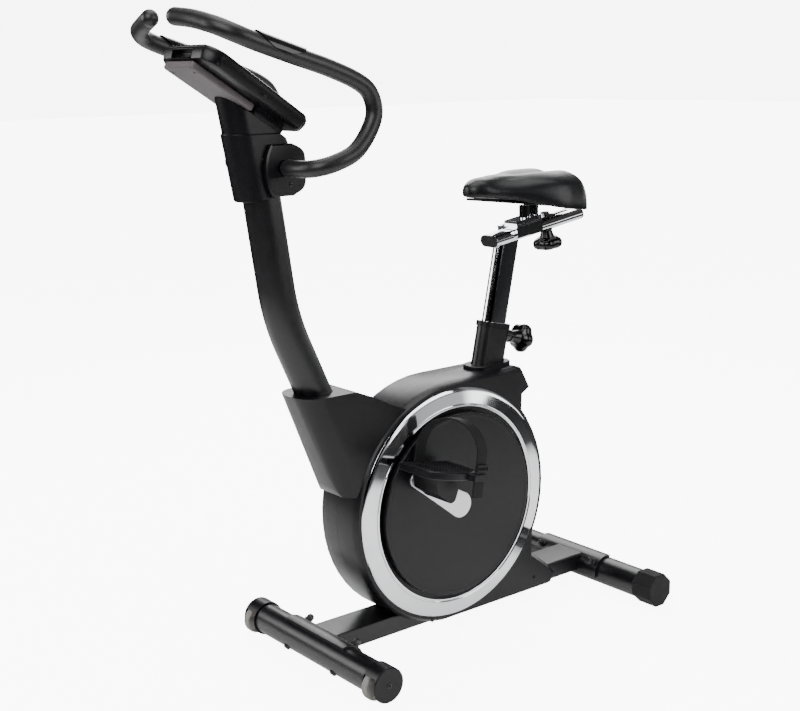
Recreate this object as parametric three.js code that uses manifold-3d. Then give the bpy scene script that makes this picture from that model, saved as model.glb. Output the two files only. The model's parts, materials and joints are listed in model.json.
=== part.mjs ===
// Upright exercise bike: floor frame, belt drive behind two round covers, mast with handlebar and
// console, and a saddle that slides on a rail above its height post.
// Millimetres, +Z up. The front of the bike points along -X and the rider's left hand along -Y.
// The origin is on the floor, under the middle of the bike.
import * as THREE from "three";
import { mergeVertices } from "three/addons/utils/BufferGeometryUtils.js";
import Module from "manifold-3d";

const wasm = await Module();
wasm.setup();

// ---------------------------------------------------------------------------------------------
// Driving dimensions
// ---------------------------------------------------------------------------------------------
const GAP = 0.3; // between pieces that touch
const RUNNING_GAP = 1; // round what turns or slides
const FINE = 28; // sides of large round pieces
const COARSE = 12; // sides of small round pieces

const MIDDLE_X = 2.54; // middle of the bike's length, put above the origin

// Floor frame
const BEAM_WIDTH = 80;
const BEAM_HEIGHT = 40;
const BEAM_BOTTOM = 28.5;
const BEAM_WALL = 2.5;
const STABILIZER_RADIUS = 31.5;
const STABILIZER_WALL = 2;
const FRONT_AXIS_X = -235;
const FRONT_HALF_WIDTH = 227;
const FRONT_CAP_RADIUS = 35.5;
const REAR_AXIS_X = 498;
const REAR_HALF_WIDTH = 257;
const REAR_CAP_REACH = 37; // from the tube's axis to the flat that rests on the floor
const REAR_CAP_STEP = 0.5; // each next flat of the levelling cap reaches this much further
const FRONT_CAP_LENGTH = 40;
const FRONT_CAP_FACE = 5; // thickness of the outer face, beyond the wheel slot
const REAR_CAP_LENGTH = 52;
const REAR_CAP_FACE = 9;
const PLUG_LENGTH = 30;
const SADDLE_PLATE = 5;
const SADDLE_PLATE_HALF_WIDTH = 98;
const BOLT_RADIUS = 5;
const BOLT_SPREAD = 80; // from the middle of a stabilizer to each of its bolts
const BOLT_ANGLE = 38; // nut end, from the horizontal towards up
const NUT_RADIUS = 9;
const WHEEL_RADIUS = 29;
const WHEEL_WIDTH = 17;
const WHEEL_FORWARD = 11; // wheel axle in front of the stabilizer's axis
const WHEEL_AXLE_Z = 30;
const WHEEL_PIN_RADIUS = 4;
const WHEEL_SLIDE = 7; // both wheels have slid this far to the right along their pins

// Drive
const CRANK_X = 75;
const CRANK_Z = 286;
const CRANK_LENGTH = 140;
const CRANK_ANGLE = 146.6; // of the left crank, from the rear horizontal towards up
const AXLE_RADIUS = 10;
const DISC_RADIUS = 194;
const DISC_FACE = 78;
const DISC_THICKNESS = 11;
const ARM_FACE = 82;
const ARM_THICKNESS = 10;
const HUB_RADIUS = 44;
const ARM_BOSS_RADIUS = 27.5;
const ARM_END_RADIUS = 15;
const PEDAL_INNER = 95;
const PEDAL_OUTER = 205;
const PEDAL_TILT = 10.5;
const PEDAL_LENGTH = 124;
const PEDAL_TOP = 43; // tread above the spindle
const PEDAL_PLATE = 16;
const PEDAL_DROP = 26; // counterweight below the spindle
const SPINDLE_RADIUS = 6;
const STRAP_WIDTH = 24;
const STRAP_THICKNESS = 3;
const STRAP_LEAN = 0.45; // how far the strap runs to the rear on its way outwards
const LUG_DEPTH = 10;
const STRAP_TOP = 139; // above the spindle
const STRAP_TAIL = 6; // below the spindle
const PULLEY_RADIUS = 105;
const PULLEY_WIDTH = 10;
const PULLEY_Y = 48;
const FLYWHEEL_X = 50;
const FLYWHEEL_Z = 156;
const FLYWHEEL_RADIUS = 106;
const FLYWHEEL_WIDTH = 14;
const FLYWHEEL_Y = -50;
const SMALL_PULLEY_RADIUS = 14;
const FLYWHEEL_AXLE_RADIUS = 7;
const BELT_THICKNESS = 3;
const BELT_CLEARANCE = 1.2;
const BRACKET_PLATE = 5;
const SHELL_RADIUS = 26; // bottom bracket shell
const SHELL_HALF_LENGTH = 34;
const CARTRIDGE_RADIUS = 20;
const MAGNET_PIN_RADIUS = 5;
const MAGNET_PIN_X = 140;
const MAGNET_PIN_Z = 88;

// Covers
const COVER_RADIUS = 258;
const COVER_HALF_WIDTH = 62;
const COVER_BEVEL = 12;
const COVER_BEVEL_INSET = 8;
const COVER_WALL = 3;
const COVER_TOP_REAR = 274; // where the flat top ends
const COVER_NOSE = 298;
const COVER_NOSE_DROP = 49;
const COVER_FOOT = 375;
const AXLE_OPENING = 62;
const RING_OUTER = 243;
const RING_INNER = 204;
const RING_HEIGHT = 8;

// Mast
const MAST_RADIUS = 35;
const MAST_WALL = 2;
const MAST_FOOT_X = -10;
const MAST_LOW_LEAN = 24;
const MAST_HIGH_LEAN = 8;
const MAST_BEND_Z = 660;
const MAST_BEND_RADIUS = 430;
const MAST_TOP_Z = 1096;
const BOOT_HALF_WIDTH = 58;
const BOOT_RIM_Z = 562;

// Handlebar
const BAR_X = -310;
const BAR_Z = 998;
const BAR_RADIUS = 12.7;
const BAR_WALL = 1.8;
const FOAM_RADIUS = 15.5;
const CLAMP_HALF_WIDTH = MAST_RADIUS + 17;
const MAST_COVER_SIDE = MAST_RADIUS + 4;
const MAST_COVER_NECK = MAST_RADIUS + 1;
const MAST_COVER_FRONT = MAST_RADIUS + 17;
const BAR_HALF_WIDTH = 160;
const BAR_STATIONS = 34;
const BAR_SIDES = 10;
const SENSOR_FRONT_X = -438;
const SENSOR_REAR_X = -335;
const SENSOR_PLATE = 3; // thickness over the foam
const SENSOR_DIP = 4; // lowest point of its edge below the bar's axis

// Console
const CONSOLE_X = -373;
const CONSOLE_Z = 1138;
const CONSOLE_TILT = 32.7;
const CONSOLE_LENGTH = 254;
const CONSOLE_HALF_WIDTH = 88;
const CONSOLE_BACK = -18; // of the console's back, from its middle plane
const CONSOLE_SPLIT = 8;
const CONSOLE_FRONT = 14;
const CONSOLE_BRACKET = 14;
const DIAL_X = 52;
const DIAL_RADIUS = 17;
const BUTTON_RADIUS = 8;
const BUTTON_SPREAD = 38;

// Seat
const SEAT_AXIS_X = 247; // of the seat tube at SEAT_AXIS_Z
const SEAT_AXIS_Z = 661;
const SEAT_LEAN = 12.3;
const SLEEVE_LENGTH = 80;
const SLEEVE_WIDTH = 40;
const SLEEVE_WALL = 2.5;
const SLEEVE_TOP = -36; // along the seat axis, from SEAT_AXIS_Z
const POST_LENGTH = 60;
const POST_WIDTH = 30;
const POST_WALL = 2;
const POST_BOTTOM = -330;
const COLLAR_LIP = 10;
const RAIL_X = 229;
const RAIL_Z = 810;
const RAIL_TILT = 8.5;
const RAIL_LENGTH = 260;
const RAIL_WIDTH = 50;
const RAIL_HEIGHT = 25;
const RAIL_WALL = 2;
const RAIL_SLOT = 12;
const RAIL_SLOT_LENGTH = 110;
const RAIL_BOLT_X = 168;
const STEM_RADIUS = 12.5;
const SADDLE_NOSE_X = 163;
const SADDLE_LENGTH = 292;
const SADDLE_HALF_WIDTH = 113;
const SADDLE_RIM_FRONT = 912;
const SADDLE_SKIRT = 14; // how far the cushion's sides hang below its middle at the tail
const PAN_MARGIN = 22; // from the cushion's edge to the pan's
const SADDLE_RIM_REAR = 878;
const SADDLE_TOP = 952;
const PAN_THICKNESS = 5;
const CUSHION_SAG = 6;
const KNOB_RADIUS = 30;
const KNOB_LENGTH = 28;
const RAIL_KNOB_NECK = 13;
const KNOB_BOLT_RADIUS = 5;
const SEAT_KNOB_AT = -50; // along the seat axis

// Sizes that follow from those above
const BEAM_TOP = BEAM_BOTTOM + BEAM_HEIGHT;
const SIDES = [
  ["left", -1],
  ["right", 1],
];
const COVER_TOP = CRANK_Z + COVER_RADIUS;
const FRONT_TUBE_END = FRONT_HALF_WIDTH - FRONT_CAP_LENGTH;
const REAR_TUBE_END = REAR_HALF_WIDTH - REAR_CAP_FACE;
const RAD = Math.PI / 180;

// ---------------------------------------------------------------------------------------------
// Materials
// ---------------------------------------------------------------------------------------------
function finish(color, roughness, metalness) {
  return new THREE.MeshStandardMaterial({ color, roughness, metalness });
}
const STEEL_BLACK = finish(0x232327, 0.42, 0.3);
const PLASTIC_BLACK = finish(0x2b2b30, 0.5, 0);
const PLASTIC_GLOSS = finish(0x1c1c20, 0.22, 0);
const CHROME = finish(0xd9dbe0, 0.1, 1);
const ALLOY = finish(0xdcdce0, 0.35, 0.6);
const FOAM = finish(0x2a2a2e, 0.8, 0);
const LEATHER = finish(0x26262a, 0.55, 0);
const CAST_IRON = finish(0x55565a, 0.6, 0.8);
const RUBBER = finish(0x1d1d1f, 0.85, 0);
const WHEEL_GREY = finish(0x8f8a82, 0.7, 0);
const PLATE_GREY = finish(0x8d868a, 0.6, 0);
const SCREEN = finish(0x303c3a, 0.15, 0);

// ---------------------------------------------------------------------------------------------
// Shape helpers
// ---------------------------------------------------------------------------------------------
function moved(geometry, x, y, z) {
  return geometry.translate(x, y, z);
}

// A box between two corners.
function block(x0, x1, y0, y1, z0, z1) {
  return moved(new THREE.BoxGeometry(x1 - x0, y1 - y0, z1 - z0), (x0 + x1) / 2, (y0 + y1) / 2, (z0 + z1) / 2);
}

// A cylinder along Y between y0 and y1.
function rod(radius, x, z, y0, y1, sides = COARSE) {
  return moved(new THREE.CylinderGeometry(radius, radius, y1 - y0, sides), x, (y0 + y1) / 2, z);
}

// A cylinder along Z between z0 and z1.
function pillar(radius, x, y, z0, z1, sides = COARSE) {
  const shape = new THREE.CylinderGeometry(radius, radius, z1 - z0, sides).rotateX(Math.PI / 2);
  return moved(shape, x, y, (z0 + z1) / 2);
}

// A turned solid about Y from [radius, y] pairs; a profile off the axis is closed on itself.
function turned(pairs, sides = FINE) {
  const points = pairs.map(([radius, y]) => new THREE.Vector2(radius, y));
  const offAxis = pairs.every(([radius]) => radius > 0);
  if (offAxis) points.push(points[0].clone());
  return new THREE.LatheGeometry(points, sides);
}

// A side outline in X and Z, given as points, pushed out along Y from y0 to y1.
function slab(outline, y0, y1, bevel = {}) {
  const shape = new THREE.Shape(outline.map(([x, z]) => new THREE.Vector2(x, z)));
  const round = bevel.thickness ?? 0;
  const geometry = new THREE.ExtrudeGeometry(shape, {
    depth: y1 - y0 - 2 * round,
    bevelEnabled: round > 0,
    bevelThickness: round,
    bevelSize: bevel.inset ?? 0,
    bevelOffset: -(bevel.inset ?? 0),
    bevelSegments: bevel.segments ?? 1,
    curveSegments: 6,
  });
  geometry.rotateX(Math.PI / 2);
  return moved(geometry, 0, y1 - round, 0);
}

// A plan outline in X and Y pushed up along Z.
function plate(outline, z0, z1, bevel = {}) {
  const shape = new THREE.Shape(outline.map(([x, y]) => new THREE.Vector2(x, y)));
  const round = bevel.thickness ?? 0;
  const geometry = new THREE.ExtrudeGeometry(shape, {
    depth: z1 - z0 - 2 * round,
    bevelEnabled: round > 0,
    bevelThickness: round,
    bevelSize: bevel.inset ?? 0,
    bevelOffset: -(bevel.inset ?? 0),
    bevelSegments: bevel.segments ?? 1,
  });
  return moved(geometry, 0, 0, z0 + round);
}

// Points of an arc about (cx, cy) from one angle to another, in degrees.
function arc(cx, cy, radius, from, to, steps) {
  return Array.from({ length: steps + 1 }, (_, i) => {
    const angle = (from + ((to - from) * i) / steps) * RAD;
    return [cx + radius * Math.cos(angle), cy + radius * Math.sin(angle)];
  });
}

// A flat-oval outline: two half circles joined by straight sides, long along its first axis.
function flatOval(length, width, steps = 6) {
  const straight = (length - width) / 2;
  return [...arc(straight, 0, width / 2, -90, 90, steps), ...arc(-straight, 0, width / 2, 90, 270, steps)];
}

// A rectangle with rounded corners.
function roundedRectangle(x0, x1, y0, y1, radius, steps = 4) {
  return [
    ...arc(x1 - radius, y0 + radius, radius, -90, 0, steps),
    ...arc(x1 - radius, y1 - radius, radius, 0, 90, steps),
    ...arc(x0 + radius, y1 - radius, radius, 90, 180, steps),
    ...arc(x0 + radius, y0 + radius, radius, 180, 270, steps),
  ];
}

// An outline moved inwards by the same distance everywhere; the outline runs anticlockwise.
function inset(outline, distance) {
  const count = outline.length;
  return outline.map((point, i) => {
    const before = new THREE.Vector2(...outline[(i + count - 1) % count]);
    const here = new THREE.Vector2(...point);
    const after = new THREE.Vector2(...outline[(i + 1) % count]);
    const a = here.clone().sub(before).normalize();
    const b = after.sub(here).normalize();
    const normal = new THREE.Vector2(-a.y - b.y, a.x + b.x).normalize();
    const lean = normal.x * -a.y + normal.y * a.x;
    return [here.x + (normal.x * distance) / lean, here.y + (normal.y * distance) / lean];
  });
}

// ---------------------------------------------------------------------------------------------
// Joining and cutting
// ---------------------------------------------------------------------------------------------
function solid(geometry) {
  if (!geometry.isBufferGeometry) return geometry;
  const bare = geometry.clone();
  bare.deleteAttribute("normal");
  bare.deleteAttribute("uv");
  const merged = mergeVertices(bare, 1e-3);
  return new wasm.Manifold(
    new wasm.Mesh({
      numProp: 3,
      vertProperties: merged.attributes.position.array,
      triVerts: new Uint32Array(merged.index.array),
    }),
  );
}

function join(...pieces) {
  return pieces.map(solid).reduce((whole, piece) => whole.add(piece));
}

function cut(body, ...tools) {
  return tools.map(solid).reduce((rest, tool) => rest.subtract(tool), solid(body));
}

function common(body, tool) {
  return solid(body).intersect(solid(tool));
}

function geometryOf(manifold) {
  const mesh = manifold.getMesh();
  const positions = new Float32Array(mesh.numVert * 3);
  for (let i = 0; i < mesh.numVert; i += 1) {
    positions.set(mesh.vertProperties.subarray(i * mesh.numProp, i * mesh.numProp + 3), i * 3);
  }
  const geometry = new THREE.BufferGeometry();
  geometry.setAttribute("position", new THREE.BufferAttribute(positions, 3));
  geometry.setIndex(new THREE.BufferAttribute(mesh.triVerts, 1));
  geometry.computeVertexNormals();
  return geometry;
}

// Names a piece, gives it its finish and puts it in its group.
function piece(group, name, shape, material) {
  const geometry = shape.isBufferGeometry ? shape : geometryOf(shape);
  const mesh = new THREE.Mesh(geometry, material);
  mesh.name = name;
  group.add(mesh);
  return mesh;
}

// Makes a left piece and its mirror image on the right.
function pair(group, name, shape, material) {
  const left = solid(shape);
  piece(group, `${name}_left`, left, material);
  piece(group, `${name}_right`, left.mirror([0, 1, 0]), material);
}

function groupAt(parent, x, y, z, turnY = 0) {
  const group = new THREE.Group();
  group.position.set(x, y, z);
  group.rotation.y = turnY * RAD;
  parent.add(group);
  return group;
}

const bike = new THREE.Group();
bike.position.x = -MIDDLE_X;

// ---------------------------------------------------------------------------------------------
// Shapes that several pieces share
// ---------------------------------------------------------------------------------------------

// The mast's centre line: a low stretch, a bend and a steeper high stretch.
function mastCurve(foot, top) {
  const low = MAST_LOW_LEAN * RAD;
  const high = MAST_HIGH_LEAN * RAD;
  const bendX = MAST_FOOT_X - (MAST_BEND_Z - BEAM_TOP) * Math.tan(low);
  const centreX = bendX + MAST_BEND_RADIUS * Math.cos(low);
  const centreZ = MAST_BEND_Z + MAST_BEND_RADIUS * Math.sin(low);
  const bendSteps = 6;
  const at = (z, x) => new THREE.Vector3(x, 0, z);
  const knots = [at(foot, MAST_FOOT_X + (BEAM_TOP - foot) * Math.tan(low))];
  for (let i = 0; i <= bendSteps; i += 1) {
    const lean = low + ((high - low) * i) / bendSteps;
    const x = centreX - MAST_BEND_RADIUS * Math.cos(lean);
    knots.push(at(centreZ - MAST_BEND_RADIUS * Math.sin(lean), x));
  }
  const last = knots[knots.length - 1];
  knots.push(at(top, last.x - (top - last.z) * Math.tan(high)));
  return knots;
}

// Where the mast's centre line is at a height.
function mastX(z) {
  const knots = mastCurve(BEAM_TOP, MAST_TOP_Z);
  const after = Math.max(1, knots.findIndex((knot) => knot.z >= z));
  const share = (z - knots[after - 1].z) / (knots[after].z - knots[after - 1].z);
  return knots[after - 1].x + share * (knots[after].x - knots[after - 1].x);
}

// A round solid that follows the mast, made stretch by stretch so that its corners stay sharp.
function mastSolid(radius, foot, top) {
  const knots = mastCurve(foot, top);
  const sides = 20;
  const positions = [];
  knots.forEach((knot, i) => {
    const before = knots[Math.max(0, i - 1)];
    const after = knots[Math.min(knots.length - 1, i + 1)];
    const along = after.clone().sub(before).normalize();
    const across = new THREE.Vector3(along.z, 0, -along.x);
    const level = i === 0 || i === knots.length - 1;
    const stretch = level ? 1 / along.z : 1;
    for (let s = 0; s < sides; s += 1) {
      const angle = (s / sides) * 2 * Math.PI;
      const reach = radius * Math.cos(angle);
      const x = level ? knot.x + reach * stretch : knot.x + reach * across.x;
      const z = level ? knot.z : knot.z + reach * across.z;
      positions.push(x, radius * Math.sin(angle), z);
    }
  });
  const geometry = new THREE.BufferGeometry();
  geometry.setAttribute("position", new THREE.BufferAttribute(new Float32Array(positions), 3));
  geometry.setIndex(ringIndex(knots.length, sides));
  return geometry;
}

// The seat tube's space, grown by a margin, between two places along its axis.
function seatSolid(length, width, from, to) {
  const geometry = plate(flatOval(length, width), from, to);
  geometry.rotateY(SEAT_LEAN * RAD);
  return moved(geometry, SEAT_AXIS_X, 0, SEAT_AXIS_Z);
}

// Side outline of the covers: a circle about the crank with a flat top, a rear nose and a foot.
function coverOutline() {
  const bottom = BEAM_BOTTOM + 1;
  const noseZ = COVER_TOP - COVER_NOSE_DROP;
  return [
    ...arc(CRANK_X, CRANK_Z, COVER_RADIUS, 90, 264, 26),
    [COVER_FOOT - 16, bottom],
    [COVER_FOOT, bottom + 26],
    [COVER_FOOT - 26, bottom + 52],
    [COVER_FOOT - 72, bottom + 88],
    ...arc(CRANK_X, CRANK_Z, COVER_RADIUS, -27, 40, 10),
    [COVER_NOSE - 24, noseZ - 14],
    [COVER_NOSE, noseZ],
    ...arc(COVER_TOP_REAR - 12, COVER_TOP - 16, 16, 20, 90, 3),
  ];
}

// ---------------------------------------------------------------------------------------------
// Floor frame
// ---------------------------------------------------------------------------------------------

// Curved plate that sits on a stabilizer and is welded to the beam's end.
function saddlePlate(x, axisZ) {
  const inner = STABILIZER_RADIUS + GAP;
  const outer = inner + SADDLE_PLATE;
  const toBeam = x < CRANK_X ? [-15, 110] : [70, 195];
  const outline = [
    ...arc(x, axisZ, outer, toBeam[0], toBeam[1], 10),
    ...arc(x, axisZ, inner, toBeam[1], toBeam[0], 10),
  ];
  return slab(outline, -SADDLE_PLATE_HALF_WIDTH, SADDLE_PLATE_HALF_WIDTH);
}

function beamTube(frontAxisZ, rearAxisZ) {
  const half = BEAM_WIDTH / 2;
  const reach = STABILIZER_RADIUS + GAP;
  const section = roundedRectangle(-half, half, BEAM_BOTTOM, BEAM_TOP, 5, 2);
  const bore = inset(section, BEAM_WALL);
  const along = (outline, x0, x1) => {
    const geometry = slab(outline, x0, x1);
    return geometry.rotateZ(-Math.PI / 2);
  };
  const tube = cut(along(section, FRONT_AXIS_X, REAR_AXIS_X), along(bore, FRONT_AXIS_X - 1, REAR_AXIS_X + 1));
  const ends = [
    rod(reach, FRONT_AXIS_X, frontAxisZ, -half - 1, half + 1, FINE),
    rod(reach, REAR_AXIS_X, rearAxisZ, -half - 1, half + 1, FINE),
    block(FRONT_AXIS_X - reach, FRONT_AXIS_X, -half - 1, half + 1, 0, BEAM_TOP + 1),
    block(REAR_AXIS_X, REAR_AXIS_X + reach, -half - 1, half + 1, 0, BEAM_TOP + 1),
  ];
  return cut(tube, ...ends);
}

// Turns something built along +X from a stabilizer's axis so that it points at the bolts' nuts.
function towardsNut(geometry, x, y, axisZ) {
  const turn = x < CRANK_X ? BOLT_ANGLE : 180 - BOLT_ANGLE;
  geometry.rotateY(-turn * RAD);
  return moved(geometry, x, y, axisZ);
}

// Holes for both bolts of a stabilizer, right through the tube and the saddle plate.
function boltHoles(x, axisZ) {
  const reach = STABILIZER_RADIUS + 20;
  return [-BOLT_SPREAD, BOLT_SPREAD].map((y) => {
    const drill = new THREE.CylinderGeometry(BOLT_RADIUS + GAP, BOLT_RADIUS + GAP, 2 * reach, 8);
    return towardsNut(drill.rotateZ(Math.PI / 2), x, y, axisZ);
  });
}

function frameBase() {
  const body = join(
    beamTube(FRONT_CAP_RADIUS, REAR_CAP_REACH),
    saddlePlate(FRONT_AXIS_X, FRONT_CAP_RADIUS),
    saddlePlate(REAR_AXIS_X, REAR_CAP_REACH),
  );
  const holes = [...boltHoles(FRONT_AXIS_X, FRONT_CAP_RADIUS), ...boltHoles(REAR_AXIS_X, REAR_CAP_REACH)];
  const drain = pillar(8, REAR_AXIS_X - 90, 0, 0, BEAM_BOTTOM + BEAM_WALL + 2);
  piece(bike, "frame_base", cut(body, ...holes, drain), STEEL_BLACK);
}

// Round stabilizer tube, drilled through for its two bolts.
function stabilizer(name, x, axisZ, halfLength) {
  const outer = STABILIZER_RADIUS;
  const inner = outer - STABILIZER_WALL;
  const tube = turned([
    [inner, -halfLength],
    [outer, -halfLength],
    [outer, halfLength],
    [inner, halfLength],
  ]);
  piece(bike, name, cut(moved(tube, x, 0, axisZ), ...boltHoles(x, axisZ)), STEEL_BLACK);
}

// Carriage bolt right through a stabilizer, with a washer and a dome nut above the saddle plate.
function stabilizerBolt(name, x, y, axisZ) {
  const head = STABILIZER_RADIUS + GAP;
  const seat = STABILIZER_RADIUS + GAP + SADDLE_PLATE + GAP;
  const shank = BOLT_RADIUS - 0.5;
  const bolt = turned(
    [
      [0, -head - 4],
      [BOLT_RADIUS + 1, -head - 3.5],
      [NUT_RADIUS, -head],
      [shank, -head],
      [shank, seat],
      [NUT_RADIUS + 1, seat],
      [NUT_RADIUS + 1, seat + 2],
      [NUT_RADIUS - 1, seat + 2],
      [NUT_RADIUS - 1, seat + 9],
      [NUT_RADIUS - 4, seat + 14],
      [0, seat + 15],
    ],
    8,
  );
  piece(bike, name, towardsNut(bolt.rotateZ(-Math.PI / 2), x, y, axisZ), STEEL_BLACK);
}

// End caps of the front tube: a plug inside the tube and a drum with an open slot for a wheel.
function frontCaps() {
  const plug = STABILIZER_RADIUS - STABILIZER_WALL - GAP;
  const slotOuter = -FRONT_HALF_WIDTH + FRONT_CAP_FACE;
  const slotInner = -FRONT_TUBE_END - 2;
  const wheelX = FRONT_AXIS_X - WHEEL_FORWARD;
  const drum = turned([
    [0, -FRONT_HALF_WIDTH],
    [FRONT_CAP_RADIUS - 2, -FRONT_HALF_WIDTH],
    [FRONT_CAP_RADIUS, -FRONT_HALF_WIDTH + 2],
    [FRONT_CAP_RADIUS, -FRONT_TUBE_END],
    [plug, -FRONT_TUBE_END],
    [plug, -FRONT_TUBE_END + PLUG_LENGTH],
    [plug - 3, -FRONT_TUBE_END + PLUG_LENGTH],
    [plug - 3, slotInner + 2],
    [0, slotInner + 2],
  ]);
  const slotRadius = WHEEL_RADIUS + 2;
  const slot = join(
    rod(slotRadius, wheelX, WHEEL_AXLE_Z, slotOuter, slotInner, 20),
    block(wheelX - slotRadius, wheelX + WHEEL_FORWARD + 2, slotOuter, slotInner, -1, WHEEL_AXLE_Z),
  );
  const pin = rod(WHEEL_PIN_RADIUS, wheelX, WHEEL_AXLE_Z, slotOuter - 1, slotInner + 1, 8);
  const cap = join(cut(moved(drum, FRONT_AXIS_X, 0, FRONT_CAP_RADIUS), slot), pin);
  pair(bike, "front_cap", cap, PLASTIC_BLACK);
}

function transportWheel(name, y) {
  const half = WHEEL_WIDTH / 2;
  const bore = WHEEL_PIN_RADIUS + 0.6;
  const wheel = turned(
    [
      [bore, -half],
      [WHEEL_RADIUS - 2, -half],
      [WHEEL_RADIUS, -half + 2],
      [WHEEL_RADIUS, half - 2],
      [WHEEL_RADIUS - 2, half],
      [bore, half],
    ],
    20,
  );
  piece(bike, name, moved(wheel, FRONT_AXIS_X - WHEEL_FORWARD, y, WHEEL_AXLE_Z), WHEEL_GREY);
}

function transportWheels() {
  const slotMiddle = (FRONT_HALF_WIDTH - FRONT_CAP_FACE + FRONT_TUBE_END + 2) / 2;
  for (const [side, sign] of SIDES) {
    transportWheel(`transport_wheel_${side}`, sign * slotMiddle + WHEEL_SLIDE);
  }
}

// Eight flats, each a little nearer the axis than the one before; the furthest rests on the floor.
function levellingOutline() {
  const flats = 8;
  const reach = (k) => REAR_CAP_REACH - REAR_CAP_STEP * k;
  const normal = (k) => (-90 + (360 / flats) * k) * RAD;
  return Array.from({ length: flats }, (_, k) => {
    const next = (k + 1) % flats;
    const a = normal(k);
    const b = normal(next);
    const det = Math.sin(b - a);
    const x = (reach(k) * Math.sin(b) - reach(next) * Math.sin(a)) / det;
    const z = (reach(next) * Math.cos(a) - reach(k) * Math.cos(b)) / det;
    return [x, z];
  });
}

// Levelling caps that turn on the ends of the rear tube.
function rearCaps() {
  const housing = slab(levellingOutline(), -REAR_HALF_WIDTH, -REAR_HALF_WIDTH + REAR_CAP_LENGTH, {
    thickness: 2,
    inset: 1.5,
  });
  const bore = rod(STABILIZER_RADIUS + 0.5, 0, 0, -REAR_TUBE_END, -REAR_TUBE_END + REAR_CAP_LENGTH, FINE);
  const cap = solid(cut(housing, bore)).translate([REAR_AXIS_X, 0, REAR_CAP_REACH]);
  pair(bike, "rear_cap", cap, RUBBER);
}

// ---------------------------------------------------------------------------------------------
// Seat tube, mast and the bracket that carries the drive
// ---------------------------------------------------------------------------------------------
function belowBeamTop() {
  return block(-400, 700, -100, 100, -100, BEAM_TOP + GAP);
}

function seatTube() {
  const bottom = -(SEAT_AXIS_Z - BEAM_TOP) / Math.cos(SEAT_LEAN * RAD) - 20;
  const bore = SLEEVE_WALL * 2;
  const screwHole = seatRod(KNOB_BOLT_RADIUS + 0.5, SLEEVE_LENGTH / 2 - 10, SLEEVE_LENGTH / 2 + 20);
  const boss = common(
    seatRod(13, SLEEVE_LENGTH / 2 - 8, SLEEVE_LENGTH / 2 + 9),
    cut(
      block(-400, 700, -100, 100, 0, 900),
      seatSolid(SLEEVE_LENGTH - 1, SLEEVE_WIDTH - 1, bottom, SLEEVE_TOP),
    ),
  );
  const tube = cut(
    join(seatSolid(SLEEVE_LENGTH, SLEEVE_WIDTH, bottom, SLEEVE_TOP), boss),
    seatSolid(SLEEVE_LENGTH - bore, SLEEVE_WIDTH - bore, bottom - 1, SLEEVE_TOP + 1),
    screwHole,
    belowBeamTop(),
  );
  piece(bike, "seat_tube", tube, STEEL_BLACK);
}

// A round bar square to the seat tube at the height of its knob, from one distance behind the
// tube's axis to another.
function seatRod(radius, from, to, sides = 16) {
  const bar = new THREE.CylinderGeometry(radius, radius, to - from, sides).rotateZ(Math.PI / 2);
  moved(bar, (from + to) / 2, 0, SEAT_KNOB_AT);
  return moved(bar.rotateY(SEAT_LEAN * RAD), SEAT_AXIS_X, 0, SEAT_AXIS_Z);
}

// Plastic collar in the mouth of the seat tube, with a lip on top.
function seatCollar() {
  const skirtLength = SLEEVE_LENGTH - 2 * SLEEVE_WALL - 2 * GAP;
  const skirtWidth = SLEEVE_WIDTH - 2 * SLEEVE_WALL - 2 * GAP;
  const lip = SLEEVE_TOP + GAP;
  const collar = cut(
    join(
      seatSolid(skirtLength, skirtWidth, SLEEVE_TOP - 70, lip + 1),
      seatSolid(SLEEVE_LENGTH + 5, SLEEVE_WIDTH + 5, lip, lip + COLLAR_LIP),
    ),
    seatSolid(POST_LENGTH + 1, POST_WIDTH + 1, SLEEVE_TOP - 71, lip + COLLAR_LIP + 1),
    seatRod(KNOB_BOLT_RADIUS + 1, POST_LENGTH / 2 - 4, SLEEVE_LENGTH / 2 + 4),
  );
  piece(bike, "seat_collar", collar, PLASTIC_BLACK);
}

function consoleSpace(from, to) {
  const space = block(-CONSOLE_LENGTH, CONSOLE_LENGTH, -200, 200, from, to);
  space.rotateY(CONSOLE_TILT * RAD);
  return moved(space, CONSOLE_X, 0, CONSOLE_Z);
}

function frontPost() {
  const post = cut(
    mastSolid(MAST_RADIUS, BEAM_TOP - 30, MAST_TOP_Z + 40),
    mastSolid(MAST_RADIUS - MAST_WALL, BEAM_TOP - 32, MAST_TOP_Z + 42),
    belowBeamTop(),
    consoleSpace(CONSOLE_BACK - CONSOLE_BRACKET - GAP, 200),
    rod(BAR_RADIUS + RUNNING_GAP, BAR_X, BAR_Z, -60, 60),
    block(BAR_X, BAR_X + 60, -60, 60, BAR_Z - BAR_RADIUS - RUNNING_GAP, BAR_Z + BAR_RADIUS + RUNNING_GAP),
  );
  piece(bike, "front_post", post, STEEL_BLACK);
}

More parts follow.
